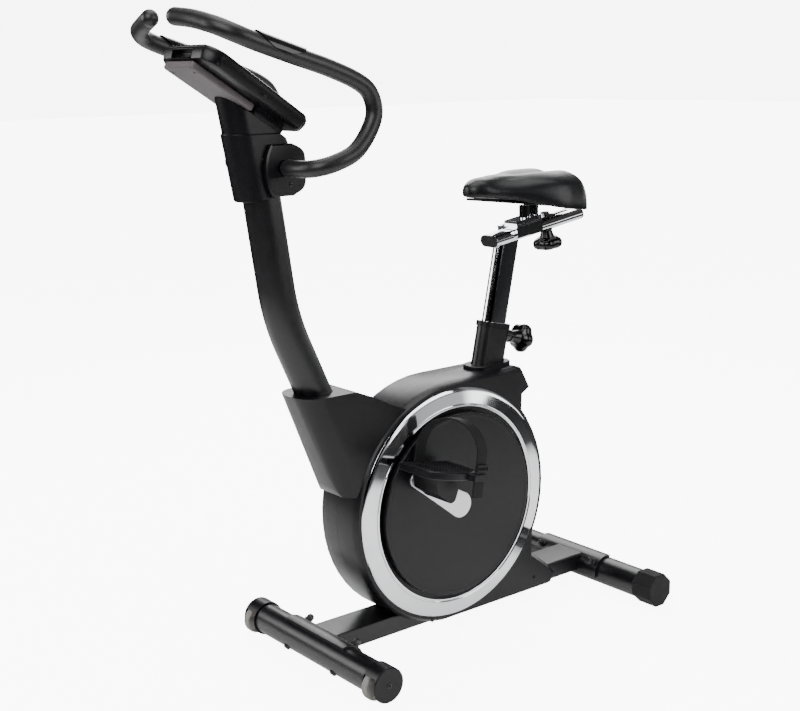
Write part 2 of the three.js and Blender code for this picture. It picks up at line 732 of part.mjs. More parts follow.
// Two plates beside the seat tube that hold the crank bearing and the flywheel axle.
function driveBracket() {
  const inner = SLEEVE_WIDTH / 2 + GAP;
  const outer = inner + BRACKET_PLATE;
  const foot = BEAM_TOP + GAP;
  const outline = [
    [FLYWHEEL_X - 12, foot],
    [FLYWHEEL_X + 100, foot],
    [CRANK_X + 95, CRANK_Z - 40],
    [CRANK_X + 100, CRANK_Z + 40],
    [CRANK_X, CRANK_Z + 44],
    [CRANK_X - 34, CRANK_Z + 20],
    [FLYWHEEL_X - 24, FLYWHEEL_Z],
  ];
  const body = join(
    slab(outline, -outer, -inner),
    slab(outline, inner, outer),
    rod(SHELL_RADIUS, CRANK_X, CRANK_Z, -SHELL_HALF_LENGTH, SHELL_HALF_LENGTH, 20),
    rod(FLYWHEEL_AXLE_RADIUS + 8, FLYWHEEL_X, FLYWHEEL_Z, -outer - 4, outer + 4),
    rod(MAGNET_PIN_RADIUS, MAGNET_PIN_X, MAGNET_PIN_Z, FLYWHEEL_Y - FLYWHEEL_WIDTH / 2, -inner),
  );
  const bracket = cut(
    body,
    rod(CARTRIDGE_RADIUS + 2 * GAP, CRANK_X, CRANK_Z, -60, 60, 20),
    rod(FLYWHEEL_AXLE_RADIUS + RUNNING_GAP, FLYWHEEL_X, FLYWHEEL_Z, -60, 60),
  );
  piece(bike, "drive_bracket", bracket, STEEL_BLACK);
}

// ---------------------------------------------------------------------------------------------
// Covers
// ---------------------------------------------------------------------------------------------
function coverShell(grow = 0) {
  const outline = grow === 0 ? coverOutline() : inset(coverOutline(), -grow);
  const half = COVER_HALF_WIDTH + grow;
  return slab(outline, -half, half, { thickness: COVER_BEVEL, inset: COVER_BEVEL_INSET });
}

// What passes through the covers: beam, seat tube and mast.
function framePassages() {
  const side = BEAM_WIDTH / 2 + GAP;
  return [
    block(-400, 700, -side, side, -10, BEAM_TOP + GAP),
    seatSolid(SLEEVE_LENGTH + 2, SLEEVE_WIDTH + 2, -300, 0),
    mastSolid(MAST_RADIUS + 1, BEAM_TOP, COVER_TOP + 40),
  ];
}

function covers() {
  const inside = slab(
    inset(coverOutline(), COVER_WALL),
    -COVER_HALF_WIDTH + COVER_WALL,
    COVER_HALF_WIDTH - COVER_WALL,
    { thickness: COVER_BEVEL, inset: COVER_BEVEL_INSET },
  );
  const seatX = SEAT_AXIS_X - (SEAT_AXIS_Z - COVER_TOP) * Math.tan(SEAT_LEAN * RAD);
  const rim = plate(flatOval(SLEEVE_LENGTH + 34, SLEEVE_WIDTH + 24), COVER_TOP - 2, COVER_TOP + 8, {
    thickness: 2,
    inset: 2,
  });
  const whole = cut(
    join(cut(coverShell(), inside), moved(rim, seatX, 0, 0)),
    ...framePassages(),
    rod(AXLE_OPENING, CRANK_X, CRANK_Z, -100, 100, 24),
    block(-400, 700, -GAP / 2, 200, -10, 700),
  );
  pair(bike, "cover", whole, PLASTIC_BLACK);
}

// Chromed ring on each cover, rising towards its inner edge.
function trimRings() {
  const back = -COVER_HALF_WIDTH - GAP;
  const ring = turned(
    [
      [RING_INNER, back - RING_HEIGHT],
      [RING_INNER + 4, back - RING_HEIGHT],
      [RING_OUTER - 3, back - 2.5],
      [RING_OUTER, back],
      [RING_INNER, back],
    ],
    40,
  );
  pair(bike, "trim_ring", moved(ring, CRANK_X, 0, CRANK_Z), CHROME);
}

// Moulded boot that blends the mast into the covers.
function postBoot() {
  const lean = 21.5;
  const frontX = -286;
  const bottomZ = 350;
  const side = (by) => {
    const outline = [
      [frontX, BOOT_RIM_Z],
      [frontX + (BOOT_RIM_Z - bottomZ) * Math.tan(lean * RAD) - 6, bottomZ + 20],
      [frontX + (BOOT_RIM_Z - bottomZ) * Math.tan(lean * RAD) + 8, bottomZ],
      [60, 320],
      [60, 490],
      [0, 495],
      [-46, 506],
      [-90, 525],
      [-130, 546],
      [-164, BOOT_RIM_Z - 2],
      [-176, BOOT_RIM_Z],
    ];
    return slab(by === 0 ? outline : inset(outline, by), -80, 80);
  };
  const prism = (by) => {
    const plan = roundedRectangle(by, 400, -BOOT_HALF_WIDTH + by, BOOT_HALF_WIDTH - by, 46 - by, 6);
    const column = plate(plan, 0, 400);
    const shear = new THREE.Matrix4().makeShear(0, 0, 0, 0, -Math.tan(lean * RAD), 0);
    column.applyMatrix4(shear);
    return moved(column, frontX + (BOOT_RIM_Z - 300) * Math.tan(lean * RAD), 0, 300);
  };
  const boot = cut(
    common(prism(0), side(0)),
    common(prism(COVER_WALL), side(COVER_WALL)),
    coverShell(GAP),
    mastSolid(MAST_RADIUS + 1, BEAM_TOP, BOOT_RIM_Z + 40),
  );
  piece(bike, "post_boot", boot, PLASTIC_BLACK);
}

// ---------------------------------------------------------------------------------------------
// Drive
// ---------------------------------------------------------------------------------------------

// Outline round two circles and their common tangents; the second circle lies along +X.
function linkOutline(length, radius, endRadius) {
  const lean = Math.acos((radius - endRadius) / length) / RAD;
  return [...arc(0, 0, radius, lean, 360 - lean, 20), ...arc(length, 0, endRadius, -lean, lean, 10)];
}

// Places something built along +X in the crank's frame so that it follows the left crank.
function alongCrank(geometry) {
  return geometry.rotateY(-CRANK_ANGLE * RAD);
}

// Turns a left piece half a turn about the crank axis and mirrors it, for the right crank.
function oppositeCrank(shape) {
  return solid(shape).mirror([0, 1, 0]).rotate([0, 180, 0]);
}

function crankPair(group, name, shape, material) {
  const left = solid(shape);
  piece(group, `${name}_left`, left, material);
  piece(group, `${name}_right`, oppositeCrank(left), material);
}

function crankAxle(crank) {
  const end = ARM_FACE - ARM_THICKNESS - GAP;
  const axle = rod(AXLE_RADIUS, 0, 0, -end, end, 16);
  piece(crank, "crank_axle", axle, ALLOY);
}

// Round plate that turns with the crank: a thin face, a turned-back rim and a hub, with an opening
// for the arm.
function crankDiscs(crank) {
  const back = DISC_FACE - DISC_THICKNESS;
  const hubFloor = ARM_FACE - ARM_THICKNESS - 2 * GAP;
  const dish = turned(
    [
      [AXLE_RADIUS + GAP, -hubFloor],
      [AXLE_RADIUS + GAP, -back],
      [HUB_RADIUS, -back],
      [HUB_RADIUS, -DISC_FACE + 4],
      [DISC_RADIUS - 4, -DISC_FACE + 4],
      [DISC_RADIUS - 4, -back],
      [DISC_RADIUS, -back],
      [DISC_RADIUS, -DISC_FACE + 2],
      [DISC_RADIUS - 2, -DISC_FACE],
      [AXLE_RADIUS + GAP, -DISC_FACE],
    ].reverse(),
    40,
  );
  const opening = slab(
    linkOutline(CRANK_LENGTH, ARM_BOSS_RADIUS + 2 * GAP, ARM_END_RADIUS + 2 * GAP),
    -DISC_FACE - 10,
    -hubFloor,
  );
  crankPair(crank, "crank_disc", cut(dish, alongCrank(opening)), PLASTIC_BLACK);
}

function crankArms(crank) {
  const arm = slab(
    linkOutline(CRANK_LENGTH, ARM_BOSS_RADIUS, ARM_END_RADIUS),
    -ARM_FACE,
    -ARM_FACE + ARM_THICKNESS,
    { thickness: 1.5, inset: 1.5 },
  );
  const bore = rod(SPINDLE_RADIUS + GAP, CRANK_LENGTH, 0, -100, 0, 16);
  crankPair(crank, "crank_arm", alongCrank(geometryOf(cut(arm, bore))), ALLOY);
}

function pulleyWheel(radius, bore, y) {
  const half = PULLEY_WIDTH / 2;
  const flange = 3;
  return turned(
    [
      [bore, y - half],
      [radius + flange, y - half],
      [radius + flange, y - half + 1],
      [radius, y - half + 2],
      [radius, y + half - 2],
      [radius + flange, y + half - 1],
      [radius + flange, y + half],
      [bore, y + half],
    ],
    FINE,
  );
}

function drivePulley(crank) {
  const wheel = pulleyWheel(PULLEY_RADIUS, AXLE_RADIUS + GAP, PULLEY_Y);
  const openings = [0, 72, 144, 216, 288].map((angle) => {
    const reach = PULLEY_RADIUS * 0.58;
    return rod(22, reach * Math.cos(angle * RAD), reach * Math.sin(angle * RAD), 0, 100, 12);
  });
  piece(crank, "drive_pulley", cut(wheel, ...openings), PLASTIC_BLACK);
}

function bottomBracketCartridge() {
  const ring = turned(
    [
      [AXLE_RADIUS + RUNNING_GAP, -SHELL_HALF_LENGTH - 3],
      [CARTRIDGE_RADIUS, -SHELL_HALF_LENGTH - 3],
      [CARTRIDGE_RADIUS, SHELL_HALF_LENGTH + 3],
      [AXLE_RADIUS + RUNNING_GAP, SHELL_HALF_LENGTH + 3],
    ],
    20,
  );
  piece(bike, "crank_bearing", moved(ring, CRANK_X, 0, CRANK_Z), ALLOY);
}

// Heavy wheel with its axle and the small belt pulley, all turning as one.
function flywheel() {
  const half = FLYWHEEL_WIDTH / 2;
  const disc = turned([
    [0, FLYWHEEL_Y - half],
    [FLYWHEEL_RADIUS - 2, FLYWHEEL_Y - half],
    [FLYWHEEL_RADIUS, FLYWHEEL_Y - half + 2],
    [FLYWHEEL_RADIUS, FLYWHEEL_Y + half - 2],
    [FLYWHEEL_RADIUS - 2, FLYWHEEL_Y + half],
    [0, FLYWHEEL_Y + half],
  ]);
  const axle = rod(FLYWHEEL_AXLE_RADIUS, 0, 0, FLYWHEEL_Y, PULLEY_Y + PULLEY_WIDTH / 2 + 2);
  const small = rod(SMALL_PULLEY_RADIUS, 0, 0, PULLEY_Y - PULLEY_WIDTH / 2, PULLEY_Y + PULLEY_WIDTH / 2, 16);
  const collar = rod(FLYWHEEL_AXLE_RADIUS + 5, 0, 0, FLYWHEEL_Y, -SLEEVE_WIDTH / 2 - BRACKET_PLATE - 6);
  const wheel = solid(join(disc, axle, small, collar)).translate([FLYWHEEL_X, 0, FLYWHEEL_Z]);
  piece(bike, "flywheel", wheel, CAST_IRON);
}

// Belt round both pulleys.
function driveBelt() {
  const dx = FLYWHEEL_X - CRANK_X;
  const dz = FLYWHEEL_Z - CRANK_Z;
  const distance = Math.hypot(dx, dz);
  const turn = Math.atan2(dz, dx) / RAD;
  const gap = BELT_CLEARANCE;
  const loop = (grow) => linkOutline(distance, PULLEY_RADIUS + grow, SMALL_PULLEY_RADIUS + grow);
  const half = PULLEY_WIDTH / 2 - 2.5;
  const belt = cut(
    slab(loop(gap + BELT_THICKNESS), PULLEY_Y - half, PULLEY_Y + half),
    slab(loop(gap), PULLEY_Y - half - 1, PULLEY_Y + half + 1),
  );
  const placed = belt.rotate([0, -turn, 0]).translate([CRANK_X, 0, CRANK_Z]);
  piece(bike, "drive_belt", placed, RUBBER);
}

// Curved arm whose magnets brake the flywheel; it swings on a pin of the bracket.
function magnetArm() {
  const y0 = FLYWHEEL_Y - FLYWHEEL_WIDTH / 2 - 1;
  const y1 = FLYWHEEL_Y + FLYWHEEL_WIDTH / 2;
  const inner = FLYWHEEL_RADIUS + 4;
  const pinAngle = Math.atan2(MAGNET_PIN_Z - FLYWHEEL_Z, MAGNET_PIN_X - FLYWHEEL_X) / RAD;
  const outline = [...arc(0, 0, inner + 12, pinAngle, 32, 10), ...arc(0, 0, inner, 32, pinAngle, 10)];
  const shoe = slab(outline, y0, y1).translate(FLYWHEEL_X, 0, FLYWHEEL_Z);
  const arm = cut(
    join(shoe, rod(MAGNET_PIN_RADIUS + 6, MAGNET_PIN_X, MAGNET_PIN_Z, y0, y1)),
    rod(MAGNET_PIN_RADIUS + 0.5, MAGNET_PIN_X, MAGNET_PIN_Z, y0 - 5, y1 + 5),
    rod(inner - 1, FLYWHEEL_X, FLYWHEEL_Z, y0 - 5, y1 + 5, FINE),
  );
  piece(bike, "magnet_arm", arm, STEEL_BLACK);
}

// Gearbox that pulls the magnet arm in and out.
function tensionMotor() {
  const z0 = BEAM_TOP + GAP;
  const body = join(block(205, 262, -24, 24, z0, z0 + 34), pillar(9, 222, 0, z0 + 33, z0 + 42));
  piece(bike, "tension_motor", body, PLASTIC_BLACK);
}

// ---------------------------------------------------------------------------------------------
// Pedals, built about their own spindle
// ---------------------------------------------------------------------------------------------

// Tread in plan: straight beside the crank, bowed outwards on the far side.
function treadOutline() {
  const half = PEDAL_LENGTH / 2;
  const bow = 26;
  const radius = (half * half + bow * bow) / (2 * bow);
  const sweepAngle = Math.asin(half / radius) / RAD;
  const edge = -PEDAL_OUTER + bow;
  return [
    [half, -PEDAL_INNER],
    [-half, -PEDAL_INNER],
    ...arc(0, edge - bow + radius, radius, 270 - sweepAngle, 270 + sweepAngle, 12),
  ];
}

function pedalShape() {
  const under = PEDAL_TOP - PEDAL_PLATE;
  const tread = plate(treadOutline(), under, PEDAL_TOP, { thickness: 2, inset: 2 });
  const grooves = [-3, -2, -1, 0, 1, 2, 3].map((k) => {
    const x = k * 14;
    return block(x - 1.5, x + 1.5, -PEDAL_OUTER + 20, -PEDAL_INNER - 8, PEDAL_TOP - 2, PEDAL_TOP + 1);
  });
  const weight = slab(
    [
      [-30, under + 1],
      [-18, -8],
      ...arc(18, -PEDAL_DROP + 12, 12, 215, 350, 6),
      [38, under + 1],
    ],
    -PEDAL_OUTER + 35,
    -PEDAL_INNER - 2,
  );
  const spindle = rod(SPINDLE_RADIUS, 0, 0, -PEDAL_INNER - 10, -ARM_FACE + ARM_THICKNESS + 0.5, 16);
  const collar = rod(SPINDLE_RADIUS + 3, 0, 0, -PEDAL_INNER - 4, -ARM_FACE - 2, 16);
  return join(cut(join(tread, weight, strapLugs()), ...grooves, strapSlots()), spindle, collar);
}

// A band's width of space along the strap, sheared so that it leaves the pedal towards the rear.
function strapLean(geometry) {
  const lean = new THREE.Matrix4().makeShear(0, 0, -STRAP_LEAN, 0, 0, 0);
  return moved(geometry.applyMatrix4(lean), -PEDAL_INNER * STRAP_LEAN - 6, 0, 0);
}

function strapLugs() {
  const half = STRAP_WIDTH / 2;
  const top = PEDAL_TOP - 3;
  const bottom = PEDAL_TOP - PEDAL_PLATE;
  return join(
    strapLean(block(-half - 5, half + 5, -PEDAL_INNER - 3, -PEDAL_INNER + LUG_DEPTH, bottom, top)),
    strapLean(block(-half - 5, half + 5, -PEDAL_OUTER - LUG_DEPTH, -PEDAL_OUTER + 26, bottom, top)),
  );
}

function strapSlots() {
  const half = STRAP_WIDTH / 2 + 0.6;
  const wide = STRAP_THICKNESS / 2 + 0.6;
  const inner = -PEDAL_INNER + LUG_DEPTH / 2;
  const outer = -PEDAL_OUTER - LUG_DEPTH / 2;
  return join(
    strapLean(block(-half, half, inner - wide, inner + wide, -60, 80)),
    strapLean(block(-half, half, outer - wide, outer + wide, -60, 80)),
  );
}

// Toe strap: up from the inner lug, over the foot and down through the outer lug.
function strapShape() {
  const inner = -PEDAL_INNER + LUG_DEPTH / 2;
  const outer = -PEDAL_OUTER - LUG_DEPTH / 2;
  const middle = (inner + outer) / 2;
  const half = (inner - outer) / 2;
  const shoulder = PEDAL_TOP + 30;
  const rise = STRAP_TOP - shoulder;
  const path = (grow) => {
    const arch = Array.from({ length: 17 }, (_, i) => {
      const angle = Math.PI * (i / 16);
      return [middle + (half + grow) * Math.cos(angle), shoulder + (rise + grow) * Math.sin(angle)];
    });
    return [[inner + grow, PEDAL_TOP - PEDAL_PLATE - 6], ...arch, [outer - grow, -STRAP_TAIL]];
  };
  const thick = STRAP_THICKNESS / 2;
  const band = slab([...path(thick), ...path(-thick).reverse()], -STRAP_WIDTH / 2, STRAP_WIDTH / 2);
  return strapLean(band.rotateZ(Math.PI / 2));
}

function pedals(crank) {
  const put = (shape) => {
    const tilted = solid(shape).rotate([0, PEDAL_TILT, 0]);
    const angle = CRANK_ANGLE * RAD;
    return tilted.translate([CRANK_LENGTH * Math.cos(angle), 0, CRANK_LENGTH * Math.sin(angle)]);
  };
  const flip = (shape) => {
    const mirrored = solid(shape).mirror([0, 1, 0]).rotate([0, PEDAL_TILT, 0]);
    const angle = (CRANK_ANGLE + 180) * RAD;
    return mirrored.translate([CRANK_LENGTH * Math.cos(angle), 0, CRANK_LENGTH * Math.sin(angle)]);
  };
  piece(crank, "pedal_left", put(pedalShape()), PLASTIC_BLACK);
  piece(crank, "pedal_right", flip(pedalShape()), PLASTIC_BLACK);
  piece(crank, "strap_left", put(strapShape()), RUBBER);
  piece(crank, "strap_right", flip(strapShape()), RUBBER);
}

// ---------------------------------------------------------------------------------------------
// Mast head, handlebar and console
// ---------------------------------------------------------------------------------------------
function sheared(geometry, lean, z) {
  const shear = new THREE.Matrix4().makeShear(0, 0, 0, 0, -Math.tan(lean * RAD), 0);
  return moved(moved(geometry, 0, 0, -z).applyMatrix4(shear), 0, 0, z);
}

// Plastic cover round the mast's head, with a narrower neck up to the console.
function mastCover() {
  const bottom = 938;
  const step = 1052;
  const front = mastX(bottom) - MAST_COVER_FRONT;
  const back = front + 2 * MAST_RADIUS + 60;
  const column = (x0, x1, halfWidth, z0, z1) => {
    const plan = roundedRectangle(x0, x1, -halfWidth, halfWidth, halfWidth - 2, 8);
    return sheared(plate(plan, z0, z1, { thickness: 2, inset: 1.5 }), MAST_HIGH_LEAN + 2.5, bottom);
  };
  const side = [
    [front - 60, bottom],
    [front + 3, bottom],
    [-291, bottom + 13],
    [-291, step - 12],
    [-302, step + 12],
    [-302, 1140],
    [front - 60, 1140],
  ];
  const body = join(
    column(front, back, MAST_COVER_SIDE, bottom, step + 8),
    column(front + 3, back - 12, MAST_COVER_NECK, step, 1140),
  );
  const cover = cut(
    common(body, slab(side, -60, 60)),
    mastSolid(MAST_RADIUS + GAP, 800, MAST_TOP_Z + 40),
    consoleSpace(CONSOLE_BACK - CONSOLE_BRACKET - GAP, 200),
    rod(BAR_RADIUS + 1.5, BAR_X, BAR_Z, -60, 60, 24),
  );
  piece(bike, "mast_cover", cover, PLASTIC_BLACK);
}

// D-shaped cover over the handlebar's clamp, open towards the mast.
function handlebarClamp() {
  const z = BAR_Z - 4;
  const outline = [
    ...arc(BAR_X + 48, z, 88, 148, 212, 10),
    [BAR_X + 18, z - 47],
    ...arc(BAR_X + 24, z - 20, 22, -60, 0, 4),
    ...arc(BAR_X + 24, z + 20, 22, 0, 60, 4),
    [BAR_X + 18, z + 47],
  ];
  const half = CLAMP_HALF_WIDTH;
  const bore = MAST_COVER_SIDE + 2;
  const clamp = cut(
    slab(outline, -half, half, { thickness: 3, inset: 3 }),
    block(BAR_X - 80, BAR_X + MAST_RADIUS - 15, -bore, bore, z - 80, z + 80),
    rod(BAR_RADIUS + 1.5, BAR_X, BAR_Z, -60, 60, 24),
  );
  piece(bike, "handlebar_clamp", clamp, PLASTIC_BLACK);
}

// The left half of the handlebar's centre line, from the middle to the tip of the horn.
function barPoints() {
  const wide = BAR_HALF_WIDTH;
  const knots = [
    [0, 0, 0],
    [0, -CLAMP_HALF_WIDTH - 4, 0],
    [0, -wide + 56, 0],
    [8, -wide + 22, 3],
    [36, -wide + 6, 11],
    [75, -wide, 28],
    [105, -wide, 60],
    [120, -wide, 95],
    [110, -wide, 130],
    [80, -wide, 152],
    [20, -wide, 175],
    [-50, -wide, 196],
    [-118, -wide, 217],
    [-155, -wide + 5, 231],
    [-176, -wide + 24, 243],
    [-184, -wide + 52, 251],
    [-192, -wide + 84, 258],
    [-203, -wide + 116, 262],
  ];
  const curve = new THREE.CatmullRomCurve3(
    knots.map(([x, y, z]) => new THREE.Vector3(BAR_X + x, y, BAR_Z + z)),
    false,
    "centripetal",
  );
  return bendsOnly(curve.getPoints(BAR_STATIONS), 7);
}

// Leaves out the points where a path runs straight, up to a change of direction in degrees.
function bendsOnly(points, least) {
  const kept = [points[0], points[1]];
  for (let i = 2; i < points.length; i += 1) {
    const last = kept[kept.length - 1];
    const before = kept[kept.length - 2];
    const turn = last.clone().sub(before).angleTo(points[i].clone().sub(last)) / RAD;
    if (turn < least && kept.length > 2) kept.pop();
    kept.push(points[i]);
  }
  return kept;
}

// Frames along a row of points: each has its point and two directions across the path.
function framesAlong(points) {
  const tangents = points.map((point, i) => {
    const before = points[Math.max(0, i - 1)];
    const after = points[Math.min(points.length - 1, i + 1)];
    return after.clone().sub(before).normalize();
  });
  let across = new THREE.Vector3(0, 0, 1);
  return points.map((point, i) => {
    across = across.clone().addScaledVector(tangents[i], -across.dot(tangents[i])).normalize();
    return { point, along: tangents[i], across, other: tangents[i].clone().cross(across) };
  });
}

// A round solid through a row of frames; its radius may differ from frame to frame.
function roundAlong(frames, radiusAt, sides) {
  const positions = [];
  frames.forEach((frame, i) => {
    for (let s = 0; s < sides; s += 1) {
      const angle = (s / sides) * 2 * Math.PI;
      const radius = radiusAt(i);
      const rim = frame.point
        .clone()
        .addScaledVector(frame.across, radius * Math.cos(angle))
        .addScaledVector(frame.other, radius * Math.sin(angle));
      positions.push(rim.x, rim.y, rim.z);
    }
  });
  const geometry = new THREE.BufferGeometry();
  geometry.setAttribute("position", new THREE.BufferAttribute(new Float32Array(positions), 3));
  geometry.setIndex(ringIndex(frames.length, sides));
  return geometry;
}

// Triangles that join rings of points into one closed solid.
function ringIndex(rings, sides) {
  const index = [];
  for (let i = 0; i + 1 < rings; i += 1) {
    for (let s = 0; s < sides; s += 1) {
      const a = i * sides + s;
      const b = i * sides + ((s + 1) % sides);
      index.push(a, b, b + sides, a, b + sides, a + sides);
    }
  }
  const end = (rings - 1) * sides;
  for (let s = 1; s + 1 < sides; s += 1) {
    index.push(0, s + 1, s, end, end + s, end + s + 1);
  }
  return index;
}

// Frames of the left half, from the middle of the bar to the tip of the horn.
function leftFrames() {
  return framesAlong(barPoints());
}

function mirroredFrame({ point, along, across, other }) {
  const flip = (vector) => new THREE.Vector3(vector.x, -vector.y, vector.z);
  return { point: flip(point), along: flip(along), across: flip(across), other: flip(other) };
}

// A frame moved outwards along its own direction.
function beyond(frame, distance) {
  return { ...frame, point: frame.point.clone().addScaledVector(frame.along, distance) };
}

function handlebar() {
  const left = leftFrames();
  const tip = left[left.length - 1];
  const whole = (half) => [...half.slice(1).map(mirroredFrame).reverse(), ...half];
  const bar = cut(
    roundAlong(whole(left), () => BAR_RADIUS, BAR_SIDES),
    roundAlong(whole([...left, beyond(tip, 3)]), () => BAR_RADIUS - BAR_WALL, BAR_SIDES),
  );
  piece(bike, "handlebar", bar, STEEL_BLACK);
}

// The part of the left half that the foam covers.
function foamFrames() {
  const frames = leftFrames();
  return frames.slice(frames.findIndex(({ point }) => point.y < -CLAMP_HALF_WIDTH - 3));
}

// Foam over the bar from the clamp to the horn, closed with a dome at the tip.
function gripFoam() {
  const frames = foamFrames();
  const tip = frames[frames.length - 1];
  const shares = [0.92, 0.71, 0.38];
  const dome = shares.map((share) => beyond(tip, Math.sqrt(1 - share * share) * FOAM_RADIUS + 2));
  const radiusAt = (i) => FOAM_RADIUS * (i < frames.length ? 1 : shares[i - frames.length]);
  const bore = [beyond(frames[0], -5), ...frames, beyond(tip, 1)];
  const foam = cut(
    roundAlong([...frames, ...dome], radiusAt, BAR_SIDES),
    roundAlong(bore, () => BAR_RADIUS + GAP, BAR_SIDES),
  );
  pair(bike, "grip_foam", foam, FOAM);
}

// Leaf-shaped plate with the pulse sensor, clipped over the top of each arm.
function pulseSensors() {
  const middleX = (SENSOR_FRONT_X + SENSOR_REAR_X) / 2;
  const half = (SENSOR_REAR_X - SENSOR_FRONT_X) / 2;
  const frames = foamFrames();
  const after = frames.findIndex(({ point }) => point.z > CONSOLE_Z && point.x < middleX);
  const front = frames[after].point;
  const rear = frames[after - 1].point;
  const middle = rear.clone().lerp(front, (rear.x - middleX) / (rear.x - front.x));
  const slope = Math.atan2(front.z - rear.z, rear.x - front.x);
  const outer = FOAM_RADIUS + SENSOR_PLATE;
  // The lower edge bows from the top of the sleeve at both ends to just below its middle.
  const bow = outer + SENSOR_DIP;
  const bowRadius = (half * half + bow * bow) / (2 * bow);
  const spread = Math.asin(half / bowRadius) / RAD;
  const lowerEdge = arc(0, bowRadius - SENSOR_DIP, bowRadius, 270 - spread, 270 + spread, 10);
  const leaf = slab([...lowerEdge, [half, outer + 5], [-half, outer + 5]], -2 * outer, 2 * outer);
  const sleeve = new THREE.CylinderGeometry(outer, outer, 2 * half, 20).rotateZ(Math.PI / 2);
  const plateAt = (geometry) => moved(geometry.rotateY(slope), middle.x, middle.y, middle.z);
  const foam = roundAlong(frames, () => FOAM_RADIUS + GAP, BAR_SIDES);
  pair(bike, "pulse_sensor", cut(common(plateAt(sleeve), plateAt(leaf)), foam), PLASTIC_GLOSS);
}

// Console in its own frame: +X towards the rider's edge, +Z out of the display.
function consoleOutline(by = 0) {
  const half = CONSOLE_LENGTH / 2 - by;
  const wide = CONSOLE_HALF_WIDTH - by;
  return [
    ...arc(half - 34, wide - 46, 34, 0, 62, 5),
    ...arc(-half + 40, wide - 40, 40, 95, 160, 6),
    ...arc(-half + 40, -wide + 40, 40, 200, 265, 6),
    ...arc(half - 34, -wide + 46, 34, -62, 0, 5),
  ];
}

function consolePieces(frame) {
  const backBevel = { thickness: 16, inset: 14, segments: 2 };
  const back = plate(consoleOutline(), CONSOLE_BACK, CONSOLE_SPLIT + 16, backBevel);
  const shell = cut(
    back,
    block(-200, 200, -200, 200, CONSOLE_SPLIT, 100),
    plate(consoleOutline(18), CONSOLE_BACK + 3, CONSOLE_SPLIT + 10),
    block(-CONSOLE_LENGTH / 2 - 5, -CONSOLE_LENGTH / 2 + 16, -34, 34, CONSOLE_BACK + 6, CONSOLE_SPLIT - 5),
  );
  const footOutline = roundedRectangle(26, 104, -36, 36, 10);
  const foot = plate(footOutline, CONSOLE_BACK - CONSOLE_BRACKET, CONSOLE_BACK + 1);
  piece(frame, "console_back", join(shell, foot), PLASTIC_BLACK);

  const faceBevel = { thickness: 4, inset: 4, segments: 2 };
  const face = plate(consoleOutline(1.5), CONSOLE_SPLIT - 4, CONSOLE_FRONT, faceBevel);
  const screenHole = plate(screenOutline(0), CONSOLE_FRONT - 3, CONSOLE_FRONT + 5);
  const dialHole = pillar(DIAL_RADIUS - 6, DIAL_X, 0, CONSOLE_FRONT - 5, CONSOLE_FRONT + 5);
  const buttonHoles = SIDES.map(([, sign]) => {
    return pillar(BUTTON_RADIUS + 0.6, DIAL_X, sign * BUTTON_SPREAD, CONSOLE_FRONT - 5, CONSOLE_FRONT + 5);
  });
  const behindFace = block(-200, 200, -200, 200, -60, CONSOLE_SPLIT + GAP);
  const bezel = cut(face, behindFace, screenHole, dialHole, ...buttonHoles);
  piece(frame, "console_face", bezel, PLASTIC_GLOSS);

  const glass = plate(screenOutline(GAP), CONSOLE_FRONT - 3 + GAP, CONSOLE_FRONT - 0.5);
  piece(frame, "console_display", glass, SCREEN);

  const top = CONSOLE_BACK - GAP;
  const box = plate(roundedRectangle(-122, 22, -49, 49, 8), top - 13, top, { thickness: 2, inset: 2 });
  const screws = [
    [-104, 36],
    [-104, -36],
    [4, 36],
    [4, -36],
  ].map(([x, y]) => pillar(3, x, y, top - 20, top - 9, 12));
  piece(frame, "console_plate", cut(box, ...screws), PLATE_GREY);
}

function screenOutline(by) {
  return roundedRectangle(-104 + by, 10 - by, -66 + by, 66 - by, 10 - by);
}

function consoleDial(frame) {
  const z = CONSOLE_FRONT;
  const knob = turned(
    [
      [0, z - 4],
      [DIAL_RADIUS - 7, z - 4],
      [DIAL_RADIUS - 7, z + RUNNING_GAP],
      [DIAL_RADIUS, z + RUNNING_GAP],
      [DIAL_RADIUS, z + 10],
      [DIAL_RADIUS - 2, z + 12],
      [0, z + 12],
    ],
    20,
  ).rotateX(Math.PI / 2);
  const notch = block(DIAL_RADIUS - 6, DIAL_RADIUS - 3, -1, 1, z + 11, z + 14);
  piece(frame, "console_dial", cut(moved(knob, DIAL_X, 0, 0), moved(notch, DIAL_X, 0, 0)), ALLOY);
}

function consoleButtons(frame) {
  for (const [side, sign] of SIDES) {
    const y = sign * BUTTON_SPREAD;
    const cap = pillar(BUTTON_RADIUS, DIAL_X, y, CONSOLE_FRONT - 3, CONSOLE_FRONT + 2.5, 16);
    piece(frame, `console_button_${side}`, cap, PLATE_GREY);
  }
}

// ---------------------------------------------------------------------------------------------
// Seat post, rail, carriage and saddle
// ---------------------------------------------------------------------------------------------
function railSpace(x0, x1, length, width) {
  const solidRail = plate(flatOval(length, width, 6), x0, x1);
  solidRail.rotateZ(Math.PI / 2).rotateY(Math.PI / 2);
  return solidRail;
}

// Moves something from the rail's frame to the bike's.
function fromRail(geometry) {
  return moved(geometry.rotateY(-RAIL_TILT * RAD), RAIL_X, 0, RAIL_Z);
}

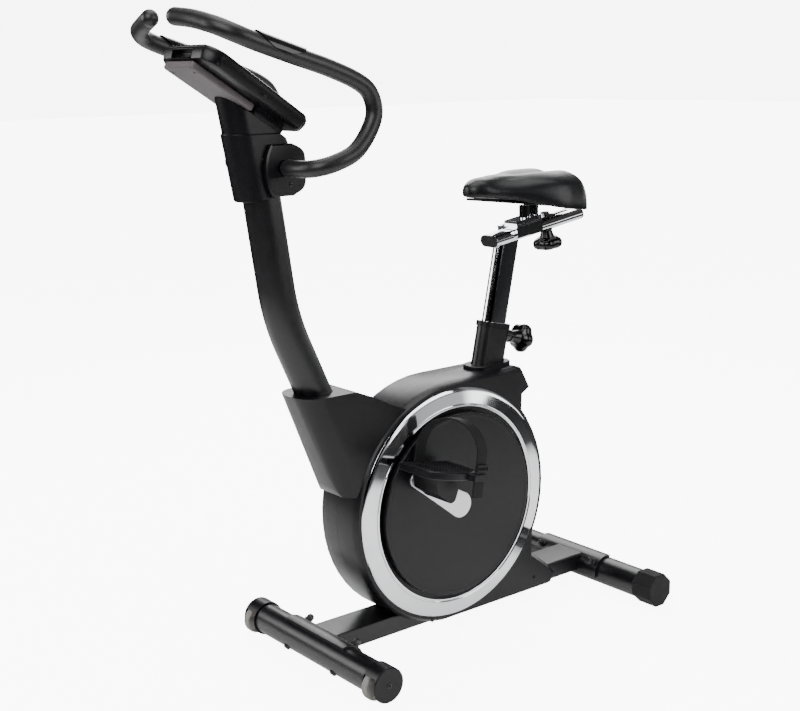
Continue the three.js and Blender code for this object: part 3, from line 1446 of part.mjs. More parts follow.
function seatPost() {
  const wall = POST_WALL * 2;
  const holes = Array.from({ length: 7 }, (_, i) => {
    const hole = new THREE.CylinderGeometry(KNOB_BOLT_RADIUS + 0.5, KNOB_BOLT_RADIUS + 0.5, 20, 8);
    moved(hole.rotateZ(Math.PI / 2), POST_LENGTH / 2, 0, SEAT_KNOB_AT - 90 + 30 * i);
    return moved(hole.rotateY(SEAT_LEAN * RAD), SEAT_AXIS_X, 0, SEAT_AXIS_Z);
  });
  const above = fromRail(block(-200, 400, -100, 100, -RAIL_HEIGHT / 2 - GAP, 400));
  const post = cut(
    seatSolid(POST_LENGTH, POST_WIDTH, POST_BOTTOM, 220),
    seatSolid(POST_LENGTH - wall, POST_WIDTH - wall, POST_BOTTOM - 1, 221),
    above,
    ...holes,
  );
  piece(bike, "seat_post", post, CHROME);
}

function seatRail(rail) {
  const wall = RAIL_WALL * 2;
  const slot = plate(flatOval(RAIL_SLOT_LENGTH, RAIL_SLOT, 6), -40, 40);
  const tube = cut(
    railSpace(2, RAIL_LENGTH - 2, RAIL_WIDTH, RAIL_HEIGHT),
    railSpace(0, RAIL_LENGTH, RAIL_WIDTH - wall, RAIL_HEIGHT - wall),
    moved(slot, RAIL_BOLT_X + 15, 0, 0),
  );
  piece(rail, "seat_rail", tube, CHROME);
}

function railCaps(rail) {
  const inside = RAIL_WALL * 2 + 2 * GAP;
  const cap = (x0, x1, plugFrom, plugTo) =>
    join(
      railSpace(x0, x1, RAIL_WIDTH, RAIL_HEIGHT),
      railSpace(plugFrom, plugTo, RAIL_WIDTH - inside, RAIL_HEIGHT - inside),
    );
  piece(rail, "rail_cap_front", cap(-2, 2 - GAP, 0, 16), PLASTIC_BLACK);
  const end = RAIL_LENGTH;
  piece(rail, "rail_cap_rear", cap(end - 2 + GAP, end + 2, end - 16, end), PLASTIC_BLACK);
}

// Bottom of the saddle above a place along it.
function saddleBottom(x) {
  return SADDLE_RIM_FRONT - ((SADDLE_RIM_FRONT - SADDLE_RIM_REAR) * (x - SADDLE_NOSE_X)) / SADDLE_LENGTH;
}

// Underside of the pan above the same place; the cushion's skin hangs a little below its edge.
function panBottom(x) {
  return saddleBottom(x) - CUSHION_SAG - GAP - PAN_THICKNESS;
}

// Slider that wraps the rail, with the saddle's stem and the clamp bolt's plate.
function seatCarriage(rail) {
  const top = RAIL_HEIGHT / 2 + RUNNING_GAP;
  const half = RAIL_WIDTH / 2 + 5;
  const wrap = cut(
    block(55, 130, -half, half, -5, top + 5),
    railSpace(50, 140, RAIL_WIDTH + 2 * RUNNING_GAP, RAIL_HEIGHT + 2 * RUNNING_GAP),
  );
  const tower = block(66, 128, -19, 19, top + 4, top + 14);
  const tongue = block(125, RAIL_BOLT_X + 16, -15, 15, top, top + 4);
  const stemX = 108;
  const worldX = RAIL_X + stemX * Math.cos(RAIL_TILT * RAD);
  const foot = RAIL_Z + stemX * Math.sin(RAIL_TILT * RAD) + top + 6;
  const stemLength = panBottom(worldX + STEM_RADIUS + 8) - GAP - foot;
  const stem = join(
    pillar(STEM_RADIUS, 0, 0, 0, stemLength, 18),
    block(STEM_RADIUS + 3, STEM_RADIUS + 8, -20, 20, 4, stemLength),
    block(0, STEM_RADIUS + 8, -4, 4, 4, stemLength),
  );
  const upright = stem.rotate([0, RAIL_TILT, 0]).translate([stemX, 0, top + 6]);
  const boltHole = pillar(KNOB_BOLT_RADIUS + 0.5, RAIL_BOLT_X, 0, top - 5, top + 20, 16);
  piece(rail, "seat_carriage", cut(join(wrap, tower, tongue, upright), boltHole), CHROME);
}

// Lobed hand knob turned about Z, its top face at zero and its neck above.
function lobedKnob(neck, lobes = 5) {
  const petals = Array.from({ length: lobes }, (_, i) => {
    const angle = ((360 * i) / lobes) * RAD;
    const x = KNOB_RADIUS * 0.64 * Math.cos(angle);
    const y = KNOB_RADIUS * 0.64 * Math.sin(angle);
    const petal = turned(
      [
        [0, -KNOB_LENGTH],
        [KNOB_RADIUS * 0.22, -KNOB_LENGTH + 1],
        [KNOB_RADIUS * 0.36, -KNOB_LENGTH + 7],
        [KNOB_RADIUS * 0.36, -8],
        [KNOB_RADIUS * 0.2, -1],
        [0, -1],
      ],
      8,
    ).rotateX(Math.PI / 2);
    return moved(petal, x, y, 0);
  });
  const core = turned(
    [
      [0, -KNOB_LENGTH - 2],
      [KNOB_RADIUS * 0.6, -KNOB_LENGTH],
      [KNOB_RADIUS * 0.72, -KNOB_LENGTH / 2],
      [KNOB_RADIUS * 0.55, 0],
      [KNOB_RADIUS * 0.36, neck * 0.4],
      [KNOB_RADIUS * 0.42, neck],
      [0, neck],
    ],
    16,
  ).rotateX(Math.PI / 2);
  return join(core, ...petals);
}

// Knob under the rail whose bolt passes up through both of the rail's slots.
function carriageKnob(rail) {
  const top = RAIL_HEIGHT / 2 + RUNNING_GAP + 4;
  const under = -RAIL_HEIGHT / 2 - RUNNING_GAP;
  const neck = RAIL_KNOB_NECK;
  const body = solid(lobedKnob(neck)).translate([RAIL_BOLT_X, 0, under - neck]);
  const bolt = pillar(KNOB_BOLT_RADIUS, RAIL_BOLT_X, 0, under - 4, top + 2, 16);
  const head = pillar(10, RAIL_BOLT_X, 0, top + GAP, top + 7, 6);
  piece(rail, "carriage_knob", join(body, bolt, head), PLASTIC_GLOSS);
}

// Knob behind the seat tube whose bolt reaches the post's rear wall.
function seatHeightKnob(seat) {
  const start = POST_LENGTH / 2 + 1;
  const neckEnd = SLEEVE_LENGTH / 2 + 10;
  const neck = 22;
  const body = solid(lobedKnob(neck)).rotate([0, -90, 0]).translate([neckEnd + neck, 0, SEAT_KNOB_AT]);
  const bolt = new THREE.CylinderGeometry(KNOB_BOLT_RADIUS, KNOB_BOLT_RADIUS, neckEnd + 4 - start, 16);
  const shank = moved(bolt.rotateZ(Math.PI / 2), (start + neckEnd + 4) / 2, 0, SEAT_KNOB_AT);
  piece(seat, "seat_height_knob", join(body, shank), PLASTIC_GLOSS);
}

// Half width of the saddle from nose (0) to tail (1).
function saddleHalfWidth(u) {
  const nose = 34 * Math.sqrt(Math.min(1, u / 0.16) * (2 - Math.min(1, u / 0.16)));
  const flare = THREE.MathUtils.smoothstep(u, 0.06, 0.72);
  const tail = u < 0.74 ? 1 : Math.sqrt(1 - ((u - 0.74) / 0.262) ** 2.6);
  return (nose + (SADDLE_HALF_WIDTH - 34) * flare) * tail;
}

// Height of the saddle's ridge above its bottom edge: a low nose, then a long even rise.
function saddleHeight(x, u) {
  const nose = 0.33 + 0.5 * Math.min(1, u / 0.1) ** 0.6;
  const swell = nose + 0.17 * THREE.MathUtils.smoothstep(u, 0.1, 0.6);
  const tail = u < 0.8 ? 1 : 1 - 0.42 * ((u - 0.8) / 0.2) ** 2;
  return (SADDLE_TOP - saddleBottom(x)) * swell * tail;
}

// How far the skirt outside the pan hangs down.
function saddleSkirt(u, side) {
  const { smoothstep } = THREE.MathUtils;
  return SADDLE_SKIRT * smoothstep(u, 0.1, 0.7) * smoothstep(Math.abs(side), 0.88, 0.96);
}

// Soft cushion made of rings from nose to tail: flat below, two cheeks and a groove above.
function saddleCushion() {
  const rings = 18;
  const around = 20;
  const positions = [];
  for (let i = 0; i < rings; i += 1) {
    const u = 0.004 + 0.992 * (0.5 - 0.5 * Math.cos((Math.PI * i) / (rings - 1)));
    const x = SADDLE_NOSE_X + u * SADDLE_LENGTH;
    const wide = saddleHalfWidth(u);
    const high = saddleHeight(x, u);
    const groove = 9 * THREE.MathUtils.smoothstep(u, 0.25, 0.55);
    for (let s = 0; s < around; s += 1) {
      const angle = (s / around) * 2 * Math.PI;
      const side = Math.sign(Math.cos(angle)) * Math.abs(Math.cos(angle)) ** 0.8;
      const rise = Math.sin(angle) > 0 ? Math.sin(angle) ** 0.62 : 0;
      const dip = groove * Math.exp(-(((side * wide) / 24) ** 2)) * rise;
      const sag = CUSHION_SAG * Math.min(0, Math.sin(angle));
      const hang = sag - saddleSkirt(u, side) * (1 - rise);
      positions.push(x, side * wide, saddleBottom(x) + high * rise - dip + hang);
    }
  }
  const geometry = new THREE.BufferGeometry();
  geometry.setAttribute("position", new THREE.BufferAttribute(new Float32Array(positions), 3));
  geometry.setIndex(ringIndex(rings, around));
  return geometry;
}

// Plastic pan under the cushion.
function saddlePan() {
  const steps = 16;
  const edge = Array.from({ length: steps + 1 }, (_, i) => {
    const u = 0.03 + (0.94 * i) / steps;
    return [SADDLE_NOSE_X + u * SADDLE_LENGTH, Math.max(6, saddleHalfWidth(u) - PAN_MARGIN)];
  });
  const plan = [...edge.map(([x, y]) => [x, -y]), ...edge.reverse()];
  const slope = (SADDLE_RIM_FRONT - SADDLE_RIM_REAR) / SADDLE_LENGTH;
  const lean = new THREE.Matrix4().makeShear(0, -slope, 0, 0, 0, 0);
  const pan = plate(plan, -PAN_THICKNESS, 0);
  moved(pan, -SADDLE_NOSE_X, 0, 0).applyMatrix4(lean);
  return moved(pan, SADDLE_NOSE_X, 0, SADDLE_RIM_FRONT - CUSHION_SAG - GAP);
}

// ---------------------------------------------------------------------------------------------
// The whole bike
// ---------------------------------------------------------------------------------------------
function build() {
  frameBase();
  stabilizer("front_stabilizer", FRONT_AXIS_X, FRONT_CAP_RADIUS, FRONT_TUBE_END - GAP);
  stabilizer("rear_stabilizer", REAR_AXIS_X, REAR_CAP_REACH, REAR_TUBE_END - GAP);
  for (const [side, sign] of SIDES) {
    stabilizerBolt(`front_bolt_${side}`, FRONT_AXIS_X, sign * BOLT_SPREAD, FRONT_CAP_RADIUS);
    stabilizerBolt(`rear_bolt_${side}`, REAR_AXIS_X, sign * BOLT_SPREAD, REAR_CAP_REACH);
  }
  frontCaps();
  transportWheels();
  rearCaps();
  seatTube();
  seatCollar();
  frontPost();
  driveBracket();
  bottomBracketCartridge();
  covers();
  trimRings();
  postBoot();
  flywheel();
  driveBelt();
  magnetArm();
  tensionMotor();

  const crank = groupAt(bike, CRANK_X, 0, CRANK_Z);
  crankAxle(crank);
  crankDiscs(crank);
  crankArms(crank);
  drivePulley(crank);
  pedals(crank);

  mastCover();
  handlebarClamp();
  handlebar();
  gripFoam();
  pulseSensors();
  const console = groupAt(bike, CONSOLE_X, 0, CONSOLE_Z, CONSOLE_TILT);
  consolePieces(console);
  consoleDial(console);
  consoleButtons(console);

  const seat = groupAt(bike, SEAT_AXIS_X, 0, SEAT_AXIS_Z, SEAT_LEAN);
  seatHeightKnob(seat);
  seatPost();
  const rail = groupAt(bike, RAIL_X, 0, RAIL_Z, -RAIL_TILT);
  seatRail(rail);
  railCaps(rail);
  seatCarriage(rail);
  carriageKnob(rail);
  piece(bike, "saddle_cushion", saddleCushion(), LEATHER);
  piece(bike, "saddle_pan", saddlePan(), PLASTIC_BLACK);
  return bike;
}

const group = build();
export default group;
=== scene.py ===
import json
import math

import bmesh
import bpy
from bpy.props import FloatProperty, FloatVectorProperty, IntProperty, PointerProperty
from mathutils import Matrix, Vector


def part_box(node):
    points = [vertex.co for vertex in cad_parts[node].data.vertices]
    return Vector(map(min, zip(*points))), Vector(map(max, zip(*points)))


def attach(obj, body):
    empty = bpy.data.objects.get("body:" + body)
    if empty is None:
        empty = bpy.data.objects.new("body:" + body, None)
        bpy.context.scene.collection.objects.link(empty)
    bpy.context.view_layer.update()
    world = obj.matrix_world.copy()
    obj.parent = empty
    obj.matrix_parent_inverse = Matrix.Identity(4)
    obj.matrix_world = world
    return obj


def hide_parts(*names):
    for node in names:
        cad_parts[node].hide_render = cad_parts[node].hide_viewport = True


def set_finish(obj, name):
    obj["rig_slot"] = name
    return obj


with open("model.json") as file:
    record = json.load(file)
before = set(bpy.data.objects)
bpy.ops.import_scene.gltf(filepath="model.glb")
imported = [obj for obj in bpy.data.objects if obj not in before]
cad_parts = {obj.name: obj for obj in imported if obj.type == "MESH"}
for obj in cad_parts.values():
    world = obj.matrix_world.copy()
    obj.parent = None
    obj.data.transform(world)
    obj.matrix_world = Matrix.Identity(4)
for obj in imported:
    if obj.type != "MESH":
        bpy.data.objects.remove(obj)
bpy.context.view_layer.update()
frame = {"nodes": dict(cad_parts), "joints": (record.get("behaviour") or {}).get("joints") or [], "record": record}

bl_info = {
    "name": "Exercise Bike Studio",
    "version": (1, 0, 0),
    "blender": (4, 5, 0),
    "location": "3D Viewport > Sidebar > Bike",
    "description": "Dresses the exercise bike's frame in finished surfaces, foam, vinyl and chrome",
    "category": "Object",
}

# ---- Places that the frame gives, in metres ----
JOINTS = {joint["name"]: joint for joint in frame["joints"]}
SIDES = (("left", -1), ("right", 1))
MIDDLE_X = 0.00254  # the bike's own origin behind the part's origin
UP = Vector((0, 0, 1))


def joint_at(name):
    return Vector(JOINTS[name]["pos_m"])


def joint_axis(name):
    return Vector(JOINTS[name]["axis"]).normalized()


CRANK = joint_at("crank_spin")
LEFT_SPINDLE = joint_at("left_pedal_spin")
RIGHT_SPINDLE = joint_at("right_pedal_spin")
BAR = joint_at("handlebar_tilt")
MAST_FOOT_X = -0.010 - MIDDLE_X
MAST_FOOT_Z = 0.0685
MAST_BEND_Z = 0.66  # where the bend starts
MAST_LOW_LEAN = math.radians(24)
MAST_HIGH_LEAN = math.radians(8)
WELD_GAP = 0.0004  # between the mast's foot and the beam
PEDAL_TILT = math.radians(10.5)


# ---- Sizes and colours that a user would change ----
def length(name, description, default):
    return FloatProperty(
        name=name,
        description=description,
        default=default,
        min=0.0001,
        max=2.0,
        unit="LENGTH",
        subtype="DISTANCE",
    )


def shade(name, description, default):
    return FloatVectorProperty(
        name=name,
        description=description,
        default=default,
        size=3,
        min=0.0,
        max=1.0,
        subtype="COLOR",
    )


class BikeSizes(bpy.types.PropertyGroup):
    """Sizes of the finished pieces"""

    mast_radius: length("Mast radius", "Outer radius of the mast tube", 0.035)
    mast_bend: length("Mast bend", "Radius of the mast's bend", 0.43)
    foam_radius: length("Foam radius", "Outer radius of the handlebar's foam", 0.0155)
    bar_half_width: length("Bar half width", "From the middle to each handlebar arm", 0.16)
    ring_outer: length("Ring outside", "Outer radius of the chromed ring", 0.243)
    ring_inner: length("Ring inside", "Inner radius of the chromed ring", 0.204)
    disc_radius: length("Disc radius", "Radius of the disc that turns with the crank", 0.194)
    disc_face: length("Disc face", "From the middle of the bike to the disc's face", 0.078)
    arm_boss: length("Arm boss", "Radius of the crank arm at the axle", 0.0275)
    arm_end: length("Arm end", "Radius of the crank arm at the pedal", 0.015)
    knob_radius: length("Knob radius", "Radius of the hand knobs", 0.032)
    strap_width: length("Strap width", "Width of the toe straps", 0.024)
    saddle_half_width: length("Saddle half width", "Half the width of the saddle's tail", 0.113)
    soft_edge: length("Soft edge", "Rounding of moulded edges", 0.0012)


class BikeColours(bpy.types.PropertyGroup):
    """Colours of the finishes"""

    steel: shade("Steel", "Powder coat on the frame", (0.0026, 0.0023, 0.0034))
    plastic: shade("Plastic", "Moulded covers", (0.0030, 0.0026, 0.0038))
    gloss: shade("Gloss plastic", "Knobs and the console's face", (0.0018, 0.0018, 0.0022))
    chrome: shade("Chrome", "Plated steel", (0.82, 0.83, 0.85))
    alloy: shade("Alloy", "Crank arms", (0.80, 0.80, 0.82))
    foam: shade("Foam", "Handlebar foam", (0.0052, 0.0044, 0.0052))
    vinyl: shade("Vinyl", "Saddle cover", (0.0034, 0.0034, 0.0044))
    iron: shade("Cast iron", "Flywheel", (0.12, 0.12, 0.125))
    rubber: shade("Rubber", "Straps and levelling caps", (0.0045, 0.0045, 0.0048))
    wheel: shade("Wheel", "Transport wheels", (0.21, 0.20, 0.185))
    plate: shade("Plate", "Battery plate and buttons", (0.10, 0.086, 0.09))
    screen: shade("Screen", "Display window", (0.02, 0.026, 0.024))
    floor: shade("Floor", "Studio floor", (0.86, 0.86, 0.86))


class BikeDetail(bpy.types.PropertyGroup):
    """How fine the pieces are made"""

    sides: IntProperty(
        name="Sides",
        description="Sides of the large round pieces",
        default=128,
        min=24,
        max=256,
    )
    cushion_pressure: FloatProperty(
        name="Cushion pressure",
        description="Air pressure that fills the saddle's cover",
        default=4.0,
        min=0.0,
        max=20.0,
    )


# ---- Node helpers ----
class Shader:
    """One material under construction: its tree, its shader and short ways to add nodes."""

    def __init__(self, name, base, roughness, metallic=0.0, **sockets):
        self.material = bpy.data.materials.new(name)
        self.material.use_nodes = True
        self.nodes = self.material.node_tree.nodes
        self.links = self.material.node_tree.links
        self.shader = self.nodes["Principled BSDF"]
        self.base = (*base, 1.0)
        self.shader.inputs["Base Color"].default_value = self.base
        self.shader.inputs["Roughness"].default_value = roughness
        self.shader.inputs["Metallic"].default_value = metallic
        for socket, value in sockets.items():
            self.shader.inputs[socket.replace("_", " ")].default_value = value
        self.place = self.add("ShaderNodeTexCoord").outputs["Object"]
        self.material.diffuse_color = self.base

    def add(self, kind, **values):
        node = self.nodes.new(kind)
        for key, value in values.items():
            if key in node.inputs:
                node.inputs[key].default_value = value
            else:
                setattr(node, key, value)
        return node

    def link(self, out, socket):
        self.links.new(out, socket)

    def stretched(self, scale):
        node = self.add("ShaderNodeMapping", Scale=scale)
        self.link(self.place, node.inputs["Vector"])
        return node.outputs["Vector"]

    def noise(self, scale, detail=3.0, stretch=None):
        node = self.add("ShaderNodeTexNoise", Scale=scale, Detail=detail)
        self.link(self.stretched(stretch) if stretch else self.place, node.inputs["Vector"])
        return node.outputs["Fac"]

    def cells(self, scale, feature="F1"):
        node = self.add("ShaderNodeTexVoronoi", Scale=scale, feature=feature)
        self.link(self.place, node.inputs["Vector"])
        return node.outputs["Distance"]

    def spread(self, value, low, high):
        node = self.add("ShaderNodeMapRange")
        node.inputs["To Min"].default_value = low
        node.inputs["To Max"].default_value = high
        self.link(value, node.inputs["Value"])
        return node.outputs["Result"]

    def band(self, value, low, high):
        node = self.add("ShaderNodeMapRange")
        node.inputs["From Min"].default_value = low
        node.inputs["From Max"].default_value = high
        self.link(value, node.inputs["Value"])
        return node.outputs["Result"]

    def vary_roughness(self, value, low, high):
        self.link(self.spread(value, low, high), self.shader.inputs["Roughness"])

    def worn(self, scale, detail, low, high):
        """Uneven gloss: the roughness wanders between two values."""
        self.vary_roughness(self.noise(scale, detail), low, high)

    def mottled(self, scale, detail, start, end, share):
        """Paler or darker patches where a noise lies between start and end."""
        patches = self.band(self.noise(scale, detail), start, end)
        self.tint(patches, lighter(self.base[:3], share))

    def tint(self, value, other):
        """The base colour turns towards another colour where the value is high."""
        mix = self.add("ShaderNodeMix", data_type="RGBA")
        mix.inputs[6].default_value = self.base
        mix.inputs[7].default_value = (*other, 1.0)
        self.link(value, mix.inputs["Factor"])
        self.link(mix.outputs[2], self.shader.inputs["Base Color"])

    def emboss(self, value, depth, strength=1.0):
        bump = self.add("ShaderNodeBump", Strength=strength, Distance=depth)
        self.link(value, bump.inputs["Height"])
        if self.shader.inputs["Normal"].is_linked:
            self.link(self.shader.inputs["Normal"].links[0].from_socket, bump.inputs["Normal"])
        self.link(bump.outputs["Normal"], self.shader.inputs["Normal"])


def lighter(colour, share):
    return tuple(min(1.0, c * share) for c in colour)


# ---- Finishes, one for each material slot ----
def powder_coat(colour):
    made = Shader("powder coat", colour, 0.3, Specular_IOR_Level=0.5)
    made.worn(40.0, 4.0, 0.27, 0.38)
    made.emboss(made.noise(1400.0, 2.0), 0.00008, 0.5)
    made.mottled(9.0, 5.0, 0.55, 0.9, 1.5)
    return made.material


def moulded_plastic(colour):
    made = Shader("moulded plastic", colour, 0.34, Specular_IOR_Level=0.3)
    made.worn(26.0, 5.0, 0.3, 0.4)
    made.emboss(made.cells(1700.0), 0.00006, 0.55)
    made.emboss(made.noise(60.0, 2.0), 0.00015, 0.2)
    made.mottled(14.0, 4.0, 0.5, 0.9, 1.45)
    return made.material


def gloss_plastic(colour):
    made = Shader("gloss plastic", colour, 0.16, Specular_IOR_Level=0.4)
    made.worn(55.0, 4.0, 0.12, 0.26)
    made.emboss(made.noise(90.0, 2.0), 0.0001, 0.12)
    made.mottled(20.0, 3.0, 0.5, 0.9, 1.6)
    return made.material


def chrome_plate(colour):
    made = Shader("chrome plate", colour, 0.05, 1.0)
    made.worn(35.0, 6.0, 0.03, 0.11)
    made.emboss(made.noise(18.0, 2.0), 0.0002, 0.1)
    made.mottled(11.0, 4.0, 0.5, 1.0, 0.8)
    return made.material


def satin_alloy(colour):
    made = Shader("satin alloy", colour, 0.3, 0.85, Anisotropic=0.3)
    made.vary_roughness(made.noise(220.0, 4.0, (1.0, 1.0, 9.0)), 0.24, 0.42)
    made.emboss(made.noise(900.0, 3.0, (1.0, 1.0, 12.0)), 0.00005, 0.4)
    made.tint(made.noise(60.0, 5.0), lighter(colour, 0.86))
    return made.material


def closed_cell_foam(colour):
    made = Shader("closed-cell foam", colour, 0.4, Specular_IOR_Level=0.45, Sheen_Weight=0.03)
    made.worn(60.0, 4.0, 0.36, 0.46)
    made.emboss(made.cells(1500.0), 0.0001, 0.3)
    made.emboss(made.noise(60.0, 2.0), 0.0002, 0.1)
    made.mottled(24.0, 5.0, 0.45, 0.85, 1.7)
    return made.material


def vinyl(colour):
    made = Shader("vinyl", colour, 0.36, Specular_IOR_Level=0.32)
    made.worn(30.0, 5.0, 0.3, 0.4)
    made.emboss(made.cells(620.0, "DISTANCE_TO_EDGE"), 0.0002, 0.3)
    made.emboss(made.noise(45.0, 3.0), 0.0006, 0.1)
    made.mottled(12.0, 5.0, 0.45, 0.9, 1.7)
    return made.material


def machined_iron(colour):
    made = Shader("machined iron", colour, 0.5, 0.8)
    made.worn(60.0, 5.0, 0.4, 0.62)
    made.emboss(made.noise(500.0, 4.0), 0.00015, 0.5)
    made.tint(made.noise(18.0, 5.0), lighter(colour, 0.6))
    return made.material


def black_rubber(colour):
    made = Shader("black rubber", colour, 0.62, Specular_IOR_Level=0.25)
    made.worn(45.0, 5.0, 0.55, 0.75)
    made.emboss(made.noise(800.0, 3.0), 0.00012, 0.5)
    made.mottled(16.0, 5.0, 0.45, 0.85, 2.0)
    return made.material


def scuffed_nylon(colour):
    made = Shader("scuffed nylon", colour, 0.6)
    made.worn(150.0, 6.0, 0.5, 0.8)
    made.emboss(made.noise(420.0, 5.0, (1.0, 0.2, 1.0)), 0.0003, 0.5)
    made.mottled(75.0, 6.0, 0.45, 0.7, 0.45)
    return made.material


def grey_plastic(colour):
    made = Shader("grey plastic", colour, 0.5)
    made.worn(35.0, 4.0, 0.45, 0.58)
    made.emboss(made.cells(1500.0), 0.00006, 0.6)
    made.tint(made.noise(13.0, 4.0), lighter(colour, 0.88))
    return made.material


def smoked_window(colour):
    made = Shader("smoked window", colour, 0.08, Coat_Weight=0.8, Coat_Roughness=0.03)
    made.worn(25.0, 4.0, 0.06, 0.14)
    made.emboss(made.noise(14.0), 0.0001, 0.1)
    made.tint(made.noise(30.0, 2.0), lighter(colour, 1.3))
    return made.material


FINISHES = {
    "steel_black": (powder_coat, "steel"),
    "plastic_black": (moulded_plastic, "plastic"),
    "plastic_gloss": (gloss_plastic, "gloss"),
    "chrome": (chrome_plate, "chrome"),
    "alloy": (satin_alloy, "alloy"),
    "foam": (closed_cell_foam, "foam"),
    "leather": (vinyl, "vinyl"),
    "cast_iron": (machined_iron, "iron"),
    "rubber": (black_rubber, "rubber"),
    "wheel_grey": (scuffed_nylon, "wheel"),
    "plate_grey": (grey_plastic, "plate"),
    "screen": (smoked_window, "screen"),
}
MADE_FINISHES = {}


def finish_of(slot):
    if slot not in MADE_FINISHES:
        make, colour = FINISHES[slot]
        MADE_FINISHES[slot] = make(tuple(getattr(bpy.context.scene.bike_colours, colour)))
    return MADE_FINISHES[slot]


# ---- Mesh helpers ----
CORNER_ANGLE = 38  # degrees: a sharper edge is a real corner
FLAT_ANGLE = 0.6  # degrees: facets within this lie in one plane
WELD_DISTANCE = 0.00001


def node_group(name, fill):
    """A geometry-nodes group made once; fill(group, start, end) links what lies between its ends."""
    if name in bpy.data.node_groups:
        return bpy.data.node_groups[name]
    group = bpy.data.node_groups.new(name, "GeometryNodeTree")
    for way in ("INPUT", "OUTPUT"):
        group.interface.new_socket("Geometry", in_out=way, socket_type="NodeSocketGeometry")
    start = group.nodes.new("NodeGroupInput")
    end = group.nodes.new("NodeGroupOutput")
    fill(group, start.outputs[0], end.inputs[0])
    return group


def smooth_but_corners(group, start, end):
    """Shades a mesh smooth and leaves its real corners sharp."""
    smooth = group.nodes.new("GeometryNodeSetShadeSmooth")
    smooth.inputs["Shade Smooth"].default_value = True
    sharp = group.nodes.new("GeometryNodeSetShadeSmooth")
    sharp.domain = "EDGE"
    sharp.inputs["Shade Smooth"].default_value = False
    angle = group.nodes.new("GeometryNodeInputMeshEdgeAngle")
    corner = group.nodes.new("FunctionNodeCompare")
    corner.data_type = "FLOAT"
    corner.operation = "GREATER_THAN"
    corner.inputs[1].default_value = math.radians(CORNER_ANGLE)
    group.links.new(angle.outputs["Unsigned Angle"], corner.inputs[0])
    group.links.new(start, smooth.inputs["Geometry"])
    group.links.new(smooth.outputs[0], sharp.inputs["Geometry"])
    group.links.new(corner.outputs["Result"], sharp.inputs["Selection"])
    group.links.new(sharp.outputs[0], end)


def one_skin(group, start, end):
    """Joins loose facets into one skin and forgets their flat shading."""
    last = start
    for attribute in ("custom_normal", "sharp_edge", "sharp_face"):
        remove = group.nodes.new("GeometryNodeRemoveAttribute")
        remove.inputs["Name"].default_value = attribute
        group.links.new(last, remove.inputs["Geometry"])
        last = remove.outputs[0]
    weld = group.nodes.new("GeometryNodeMergeByDistance")
    weld.inputs["Distance"].default_value = WELD_DISTANCE
    group.links.new(last, weld.inputs["Geometry"])
    group.links.new(weld.outputs[0], end)


def soften(obj, width, segments=2, merge=False, corner=34):
    """Rounds an object's corners and smooths its curved faces."""
    if merge:
        skin = obj.modifiers.new("one skin", "NODES")
        skin.node_group = node_group("one skin", one_skin)
        flat = obj.modifiers.new("flat faces", "DECIMATE")
        flat.decimate_type = "DISSOLVE"
        flat.angle_limit = math.radians(FLAT_ANGLE)
    if width > 0:
        bevel = obj.modifiers.new("soft edges", "BEVEL")
        bevel.width = width
        bevel.segments = segments
        bevel.limit_method = "ANGLE"
        bevel.angle_limit = math.radians(corner)
        bevel.miter_outer = "MITER_ARC"
    crease = obj.modifiers.new("shading", "NODES")
    crease.node_group = node_group("smooth but for corners", smooth_but_corners)
    weight = obj.modifiers.new("face weights", "WEIGHTED_NORMAL")
    weight.keep_sharp = True
    return obj


def mesh_object(name, vertices, faces, slot):
    mesh = bpy.data.meshes.new(name)
    mesh.from_pydata([tuple(v) for v in vertices], [], faces)
    shape = bmesh.new()
    shape.from_mesh(mesh)
    bmesh.ops.remove_doubles(shape, verts=shape.verts, dist=1e-7)
    bmesh.ops.recalc_face_normals(shape, faces=shape.faces)
    shape.to_mesh(mesh)
    shape.free()
    obj = bpy.data.objects.new(name, mesh)
    bpy.context.scene.collection.objects.link(obj)
    obj.data.materials.append(finish_of(slot))
    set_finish(obj, slot)
    return obj


def loft(name, rings, slot, close_rings=False):
    """Joins rings of points into a skin, closed by a face at each end or joined end to start."""
    count = len(rings[0])
    vertices = [point for ring in rings for point in ring]
    faces = []
    pairs = len(rings) if close_rings else len(rings) - 1
    for i in range(pairs):
        a = i * count
        b = ((i + 1) % len(rings)) * count
        faces += [(a + s, a + (s + 1) % count, b + (s + 1) % count, b + s) for s in range(count)]
    if not close_rings:
        faces.append(tuple(range(count))[::-1])
        faces.append(tuple((len(rings) - 1) * count + s for s in range(count)))
    return mesh_object(name, vertices, faces, slot)


def turned(name, profile, centre, axis, slot, sides=None, reach=None):
    """A closed profile of (radius, distance along the axis) turned about an axis.

    reach(angle) is how far the outline stands out at that angle, as a share of the radius.
    """
    sides = sides or bpy.context.scene.bike_detail.sides
    axis = Vector(axis).normalized()
    across = axis.orthogonal().normalized()
    other = axis.cross(across)
    rings = []
    for s in range(sides):
        angle = 2 * math.pi * s / sides
        spoke = across * math.cos(angle) + other * math.sin(angle)
        share = reach(angle) if reach else 1.0
        rings.append([Vector(centre) + spoke * (r * share) + axis * a for r, a in profile])
    return loft(name, rings, slot, close_rings=True)


def frames_along(points):
    """At each point of a path: the point and two directions across the path."""
    frames = []
    across = UP.copy()
    for i, point in enumerate(points):
        along = (points[min(i + 1, len(points) - 1)] - points[max(i - 1, 0)]).normalized()
        across = (across - along * across.dot(along)).normalized()
        frames.append((point, across, along.cross(across)))
    return frames


def tube(name, points, radii, slot, sides=40):
    """A round solid along a path, with one radius for each of the path's points."""
    rings = []
    turn = [2 * math.pi * s / sides for s in range(sides)]
    for r, (point, across, other) in zip(radii, frames_along(points)):
        rings.append([point + across * (r * math.cos(a)) + other * (r * math.sin(a)) for a in turn])
    return loft(name, rings, slot)


